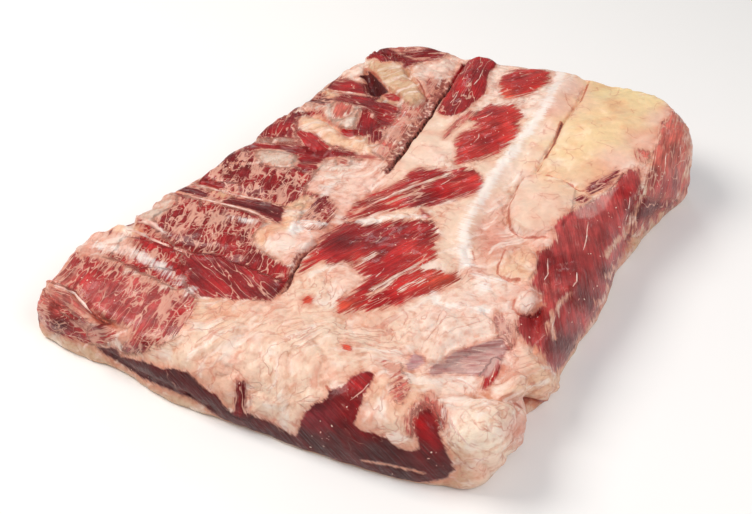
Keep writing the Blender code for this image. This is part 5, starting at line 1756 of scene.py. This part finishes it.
@dataclass(frozen=True)
class SurfaceFinder:
    """Finds where a place of the plan lies on the meat's surface."""

    surface: BVHTree
    placing: Placing
    flattest: float = 0.35

    @classmethod
    def of(cls, slab: bpy.types.Object, placing: Placing) -> "SurfaceFinder":
        """The finder for this slab."""
        corners = [corner.co.copy() for corner in slab.data.vertices]
        return cls(BVHTree.FromPolygons(corners, [tuple(face.vertices) for face in slab.data.polygons]),
                   placing)

    def spots(self, places: Points) -> list[tuple[Vector, Vector]]:
        """The points of the surface that show at places of the plan, and their normals.

        Args:
            places: Places of the plan, in millimetres.

        Returns:
            The point and the normal for each place that lies on the slab's upper side.
        """
        found = []
        for x, y in places:
            pole, target = map(Vector, self.placing.metres(np.array((PLAN_POLE, (x, y, PLAN_HEIGHT)))))
            hit, normal, _, _ = self.surface.ray_cast(pole, (target - pole).normalized())
            if hit and normal.z > self.flattest:
                found.append((hit, normal))
        return found


@dataclass(frozen=True)
class CloudedFinish:
    """A pale moist finish with pinker clouds in it, and a gloss that shifts with the clouds.

    Attributes:
        name: The material's name.
        pale_code: Colour between the clouds.
        pink_code: Colour of the clouds.
        clouds_per_metre: How fine the clouds are.
        detail: How ragged they are.
        pink_range: Noise values between which the colour turns pink.
        gloss_range: Roughness between the clouds and in them.
        index: Its index of refraction.
        glow: Share of the light that passes through its surface.
    """

    name: str
    pale_code: str
    pink_code: str
    clouds_per_metre: float
    detail: float
    pink_range: tuple[float, float]
    gloss_range: tuple[float, float]
    index: float
    glow: float = 0.0

    def build(self) -> bpy.types.Material:
        """Makes the material.

        Returns:
            The finished material.
        """
        material, tree, shader, place = new_material(self.name)
        fineness = {"Vector": place, "Scale": self.clouds_per_metre, "Detail": self.detail}
        cloud = add_node(tree, "ShaderNodeTexNoise", {}, fineness)
        pink_start, pink_full = self.pink_range
        share = add_node(tree, "ShaderNodeMapRange", {}, {0: cloud, 1: pink_start, 2: pink_full})
        colours = {0: share, 6: linear(self.pale_code), 7: linear(self.pink_code)}
        colour = add_node(tree, "ShaderNodeMix", {"data_type": "RGBA"}, colours, 2)
        tree.links.new(colour, shader.inputs["Base Color"])
        glossy, dull = self.gloss_range
        gloss = add_node(tree, "ShaderNodeMapRange", {}, {0: cloud, 1: 0.3, 2: 0.7, 3: glossy, 4: dull})
        tree.links.new(gloss, shader.inputs["Roughness"])
        shader.inputs["IOR"].default_value = self.index
        shader.inputs["Subsurface Weight"].default_value = self.glow
        shader.inputs["Subsurface Radius"].default_value = (1.0, 0.5, 0.4)
        shader.inputs["Subsurface Scale"].default_value = 2.0 * MILLIMETRE
        return material


@dataclass(frozen=True)
class SinewFinish(CloudedFinish):
    """Wet sinew: silvery white with a pink cast, smooth enough to glint along its length."""

    name: str = "beef_sinew"
    pale_code: str = "#F3D9CD"
    pink_code: str = "#DDA293"
    clouds_per_metre: float = 140.0
    detail: float = 3.0
    pink_range: tuple[float, float] = (0.35, 0.62)
    gloss_range: tuple[float, float] = (0.25, 0.38)
    index: float = 1.42
    glow: float = 0.15


@dataclass(frozen=True)
class FleckFinish(CloudedFinish):
    """Small flecks of moist fat: pale pink to cream, with a soft gloss."""

    name: str = "beef_fat_fleck"
    pale_code: str = "#F2D6C4"
    pink_code: str = "#D9968A"
    clouds_per_metre: float = 220.0
    detail: float = 2.0
    pink_range: tuple[float, float] = (0.40, 0.60)
    gloss_range: tuple[float, float] = (0.33, 0.43)
    index: float = 1.45


def node_group(name: str, sizes: dict[str, tuple[str, float | int | bpy.types.Material]]) -> tuple:
    """Starts a Geometry Nodes tree.

    Args:
        name: The tree's name.
        sizes: Its inputs after the geometry: each one's socket type and value, by name.

    Returns:
        The tree, its input node and its output node.
    """
    tree = bpy.data.node_groups.new(name, "GeometryNodeTree")
    tree.interface.new_socket("Geometry", in_out="INPUT", socket_type="NodeSocketGeometry")
    for label, (kind, _) in sizes.items():
        tree.interface.new_socket(label, in_out="INPUT", socket_type=kind)
    tree.interface.new_socket("Geometry", in_out="OUTPUT", socket_type="NodeSocketGeometry")
    return tree, tree.nodes.new("NodeGroupInput"), tree.nodes.new("NodeGroupOutput")


def dress(
    tree: bpy.types.NodeTree, shape: bpy.types.NodeSocket, given: bpy.types.Node, result: bpy.types.Node
) -> None:
    """Ends a tree: makes instances real, smooths the shape and gives it the material.

    Args:
        tree: The tree.
        shape: The socket of the finished shape.
        given: The tree's input node, which has a Material.
        result: Its output node.
    """
    real = add_node(tree, "GeometryNodeRealizeInstances", {}, {"Geometry": shape})
    soft = add_node(tree, "GeometryNodeSetShadeSmooth", {}, {"Geometry": real})
    finished = {"Geometry": soft, "Material": given.outputs["Material"]}
    tree.links.new(add_node(tree, "GeometryNodeSetMaterial", {}, finished), result.inputs[0])


def grown_mesh(source: bpy.types.Object, tree: bpy.types.NodeTree, sizes: dict,
               name: str) -> bpy.types.Object:
    """Runs a Geometry Nodes tree on an object and keeps the result as a plain mesh.

    Args:
        source: The object that the tree works on, which is removed afterwards.
        tree: The tree.
        sizes: Its inputs, as given to node_group.
        name: Name of the new piece.

    Returns:
        The new piece.
    """
    grower = source.modifiers.new(name, "NODES")
    grower.node_group = tree
    for socket in tree.interface.items_tree:
        if socket.in_out == "INPUT" and socket.name in sizes:
            grower[socket.identifier] = sizes[socket.name][1]
    grown = source.evaluated_get(bpy.context.evaluated_depsgraph_get())
    mesh = bpy.data.meshes.new_from_object(grown)
    source.modifiers.remove(grower)
    bpy.data.objects.remove(source, do_unlink=True)
    mesh.name = name
    return new_object(name, mesh)


@dataclass(frozen=True)
class SinewStrands:
    """Strands of sinew that lie half sunk in the meat and thin out to both ends.

    Attributes:
        finish: Their finish.
        raised: Height of their middle lines over the surface, as a share of the radius.
        spacing: Distance between the points of a strand, in millimetres.
        wander: How far they stray from their paths, in millimetres.
        sides: Sides of a strand.
        bends_per_metre: How close the bends of a strand are.
        bluntness: How fast a strand swells from its ends: the nearer to 0, the faster.
        girth: Thinnest and thickest share of a strand's radius.
    """

    finish: SinewFinish
    raised: float = -0.45
    spacing: float = 1.2
    wander: float = 1.1
    sides: int = 8
    bends_per_metre: float = 130.0
    bluntness: float = 0.6
    girth: tuple[float, float] = (0.7, 1.25)

    def guides(self, finder: SurfaceFinder) -> bpy.types.Object:
        """The strands' middle lines, laid on the surface, with their radii.

        Args:
            finder: Finds the surface under each path.

        Returns:
            The curve object.
        """
        curve = bpy.data.curves.new("sinew_guides", "CURVE")
        curve.dimensions = "3D"
        for path, radius in SINEW_STRANDS:
            run = np.array(path, float)
            walked = lengths_walked(run)
            count = max(4, int(walked[-1] / self.spacing))
            places = np.column_stack([np.interp(np.linspace(0, walked[-1], count), walked,
                                                c) for c in run.T])
            found = finder.spots(places)
            if not found:
                continue
            spline = curve.splines.new("POLY")
            spline.points.add(len(found) - 1)
            for point, (hit, normal) in zip(spline.points, found):
                point.co = (*(hit + normal * radius * self.raised * MILLIMETRE), 1.0)
                point.radius = radius * MILLIMETRE
        return new_object("sinew_guides", curve)

    def build(self, finder: SurfaceFinder) -> bpy.types.Object:
        """Makes the strands as one piece.

        Args:
            finder: Finds the surface under each path.

        Returns:
            The piece.
        """
        sizes = {
            "Spacing": ("NodeSocketFloat", self.spacing * MILLIMETRE),
            "Wander": ("NodeSocketFloat", self.wander * MILLIMETRE),
            "Sides": ("NodeSocketInt", self.sides),
            "Material": ("NodeSocketMaterial", self.finish.build()),
        }
        tree, given, result = node_group("sinew_strands", sizes)
        even = add_node(tree, "GeometryNodeResampleCurve", {"mode": "LENGTH"},
                        {"Curve": given.outputs["Geometry"], "Length": given.outputs["Spacing"]})
        place = add_node(tree, "GeometryNodeInputPosition", {}, {})
        noise = take(tree, Step.SWIRL, place, self.bends_per_metre, 1.0)
        middle = add_node(tree, "ShaderNodeVectorMath", {"operation": "SUBTRACT"},
                          {0: noise, 1: (0.5, 0.5, 0.5)})
        shift = take(tree, Step.SCALE, middle, given.outputs["Wander"])
        bent = add_node(tree, "GeometryNodeSetPosition", {}, {"Geometry": even, "Offset": shift})
        walked = add_node(tree, "GeometryNodeSplineParameter", {}, {}, "Factor")
        turn = take(tree, Step.MULTIPLY, walked, math.pi)
        swell = add_node(tree, "ShaderNodeMath", {"operation": "SINE"}, {0: turn})
        swell = add_node(tree, "ShaderNodeMath", {"operation": "POWER"}, {0: swell, 1: self.bluntness})
        swell = take(tree, Step.MULTIPLY, swell, take(tree, Step.RANGE, noise, 0.3, 0.7, *self.girth))
        radius = add_node(tree, "GeometryNodeInputRadius", {}, {})
        thick = take(tree, Step.MULTIPLY, swell, radius)
        ring = add_node(tree, "GeometryNodeCurvePrimitiveCircle", {},
                        {"Resolution": given.outputs["Sides"], "Radius": 1.0})
        tube = add_node(tree, "GeometryNodeCurveToMesh", {},
                        {"Curve": bent, "Profile Curve": ring, "Scale": thick, "Fill Caps": True})
        dress(tree, tube, given, result)
        return grown_mesh(self.guides(finder), tree, sizes, "brisket_sinew")


@dataclass(frozen=True)
class FatFlecks:
    """Flecks of fat strewn over the lean, half sunk in it.

    Attributes:
        finish: Their finish.
        density: Most flecks to a square metre.
        smallest: Smallest size, in millimetres.
        largest: Largest size, in millimetres.
        seed: Seed of their places and sizes.
        depth_range: Depths into the lean, in millimetres, between which they set in.
        upward_range: Upward parts of the normal between which they set in.
        drifts_per_metre: How close the drifts of flecks are.
        drift_range: Noise values between which a drift sets in.
    """

    finish: FleckFinish
    density: float = 20000.0
    smallest: float = 0.20
    largest: float = 0.65
    seed: int = 7
    depth_range: tuple[float, float] = (0.5, 3.0)
    upward_range: tuple[float, float] = (-0.25, 0.05)
    drifts_per_metre: float = 45.0
    drift_range: tuple[float, float] = (0.48, 0.62)

    def build(self, slab: bpy.types.Object) -> bpy.types.Object:
        """Makes the flecks as one piece.

        Args:
            slab: The painted slab that they are strewn over.

        Returns:
            The piece.
        """
        sizes = {
            "Density": ("NodeSocketFloat", self.density),
            "Smallest": ("NodeSocketFloat", self.smallest * MILLIMETRE),
            "Largest": ("NodeSocketFloat", self.largest * MILLIMETRE),
            "Seed": ("NodeSocketInt", self.seed),
            "Material": ("NodeSocketMaterial", self.finish.build()),
        }
        tree, given, result = node_group("fat_flecks", sizes)
        depth = add_node(tree, "GeometryNodeInputNamedAttribute", {"data_type": "FLOAT"},
                         {"Name": "lean_edge"})
        inside = take(tree, Step.RANGE, depth, *self.depth_range)
        outward = add_node(tree, "GeometryNodeInputNormal", {}, {})
        upward = add_node(tree, "ShaderNodeSeparateXYZ", {}, {0: outward}, "Z")
        showing = take(tree, Step.RANGE, upward, *self.upward_range)
        place = add_node(tree, "GeometryNodeInputPosition", {}, {})
        drift = take(tree, Step.NOISE, place, self.drifts_per_metre, 1.0)
        drift = take(tree, Step.RANGE, drift, *self.drift_range)
        share = inside
        for factor in (showing, drift, given.outputs["Density"]):
            share = take(tree, Step.MULTIPLY, share, factor)
        strewn = tree.nodes.new("GeometryNodeDistributePointsOnFaces")
        tree.links.new(given.outputs["Geometry"], strewn.inputs["Mesh"])
        tree.links.new(share, strewn.inputs["Density"])
        tree.links.new(given.outputs["Seed"], strewn.inputs["Seed"])
        fleck = add_node(tree, "GeometryNodeMeshIcoSphere", {}, {"Radius": 1.0, "Subdivisions": 2})
        width = add_node(tree, "FunctionNodeRandomValue", {"data_type": "FLOAT"},
                         {2: given.outputs["Smallest"], 3: given.outputs["Largest"],
                          "Seed": given.outputs["Seed"]}, 1)
        shape = add_node(tree, "FunctionNodeRandomValue", {"data_type": "FLOAT_VECTOR"},
                         {0: (0.6, 0.6, 0.3), 1: (1.7, 1.0, 0.55), "Seed": 11})
        scale = take(tree, Step.SCALE, shape, width)
        laid = add_node(tree, "GeometryNodeInstanceOnPoints", {},
                        {"Points": strewn.outputs["Points"], "Instance": fleck,
                         "Rotation": strewn.outputs["Rotation"], "Scale": scale})
        turn = add_node(tree, "FunctionNodeRandomValue", {"data_type": "FLOAT_VECTOR"},
                        {0: (0.0, 0.0, 0.0), 1: (0.3, 0.3, 6.28), "Seed": 12})
        turned = add_node(tree, "GeometryNodeRotateInstances", {}, {"Instances": laid, "Rotation": turn})
        dress(tree, turned, given, result)
        ground = new_object("fleck_ground", slab.data.copy())
        return grown_mesh(ground, tree, sizes, "brisket_flecks")


@dataclass(frozen=True)
class StudioFloorFinish:
    """Smooth white studio board, matt, which gives the eye nothing but a soft shadow."""

    code: str = "#FBFAF9"
    roughness: float = 0.85

    def build(self) -> bpy.types.Material:
        """Makes the material.

        Returns:
            The finished material.
        """
        material, tree, shader, place = new_material("studio_board")
        fleck = add_node(tree, "ShaderNodeTexNoise", {}, {"Vector": place, "Scale": 40.0, "Detail": 3.0})
        rough = add_node(tree, "ShaderNodeMapRange", {},
                         {0: fleck, 1: 0.3, 2: 0.7, 3: self.roughness - 0.03, 4: self.roughness + 0.03})
        tree.links.new(rough, shader.inputs["Roughness"])
        shader.inputs["Base Color"].default_value = linear(self.code)
        return material


@dataclass
class Studio:
    """A pale floor, soft lights and the camera."""

    floor_size: float = 6.0
    world_strength: float = 0.31

    def floor(self) -> bpy.types.Object:
        """The floor, at the level the slab lies on.

        Returns:
            The floor's object.
        """
        half = self.floor_size / 2
        mesh = bpy.data.meshes.new("floor")
        corners = [(-half, -half, 0), (half, -half, 0), (half, half, 0), (-half, half, 0)]
        mesh.from_pydata(corners, [], [(0, 1, 2, 3)])
        mesh.materials.append(StudioFloorFinish().build())
        return new_object("floor", mesh)

    def softbox(self, name: str, place: tuple, size: float, power: float, code: str) -> None:
        """A square soft light that looks at the slab.

        Args:
            name: Its name.
            place: Where it hangs, in metres.
            size: Its side, in metres.
            power: Its power, in watts.
            code: Its colour.
        """
        light = bpy.data.lights.new(name, "AREA")
        light.size = size
        light.energy = power
        light.color = linear(code)[:3]
        lamp = new_object(name, light)
        lamp.location = place
        lamp.rotation_euler = (-Vector(place)).to_track_quat("-Z", "Y").to_euler()

    def world(self) -> None:
        """White surroundings."""
        world = bpy.data.worlds.new("surroundings")
        world.use_nodes = True
        background = world.node_tree.nodes["Background"]
        background.inputs["Color"].default_value = linear("#FFFFFF")
        background.inputs["Strength"].default_value = self.world_strength
        bpy.context.scene.world = world

    def camera(self, placing: Placing) -> None:
        """The camera, at the plan's pole and looking down at the slab.

        Args:
            placing: The placing that brought the slab to its place.
        """
        lens = bpy.data.cameras.new("camera")
        lens.lens, lens.sensor_width = LENS_MM, SENSOR_MM
        lens.clip_start = NEAREST_SEEN
        camera = new_object("camera", lens)
        camera.location = placing.metres(PLAN_POLE[None, :])[0]
        camera.rotation_euler = (math.radians(90 - VIEW_ELEVATION), 0.0, math.radians(VIEW_AZIMUTH))
        bpy.context.scene.camera = camera

    def build(self, placing: Placing) -> None:
        """Sets up the studio round the slab.

        Args:
            placing: The placing that brought the slab to its place.
        """
        self.floor()
        self.world()
        for name, place, size, power, code in SOFTBOXES:
            self.softbox(name, place, size, power, code)
        self.camera(placing)
        bpy.context.scene.view_settings.view_transform = "Standard"


def main() -> None:
    """Builds the brisket and its studio, piece by piece."""
    logging.basicConfig(level=logging.INFO, format="%(message)s")
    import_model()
    slab, placing = Slab(SlabForm(), MeatPaint(), RawBeefFinish()).build()
    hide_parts(NODE)
    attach(slab, BODY)
    sinew = SinewStrands(SinewFinish()).build(SurfaceFinder.of(slab, placing))
    flecks = FatFlecks(FleckFinish()).build(slab)
    for extra in (sinew, flecks):
        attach(extra, BODY)
    for piece in (slab, sinew, flecks):
        piece.data.calc_loop_triangles()
        logging.info("%s: %d triangles", piece.name, len(piece.data.loop_triangles))
    Studio().build(placing)


if __name__ == "__main__":
    main()
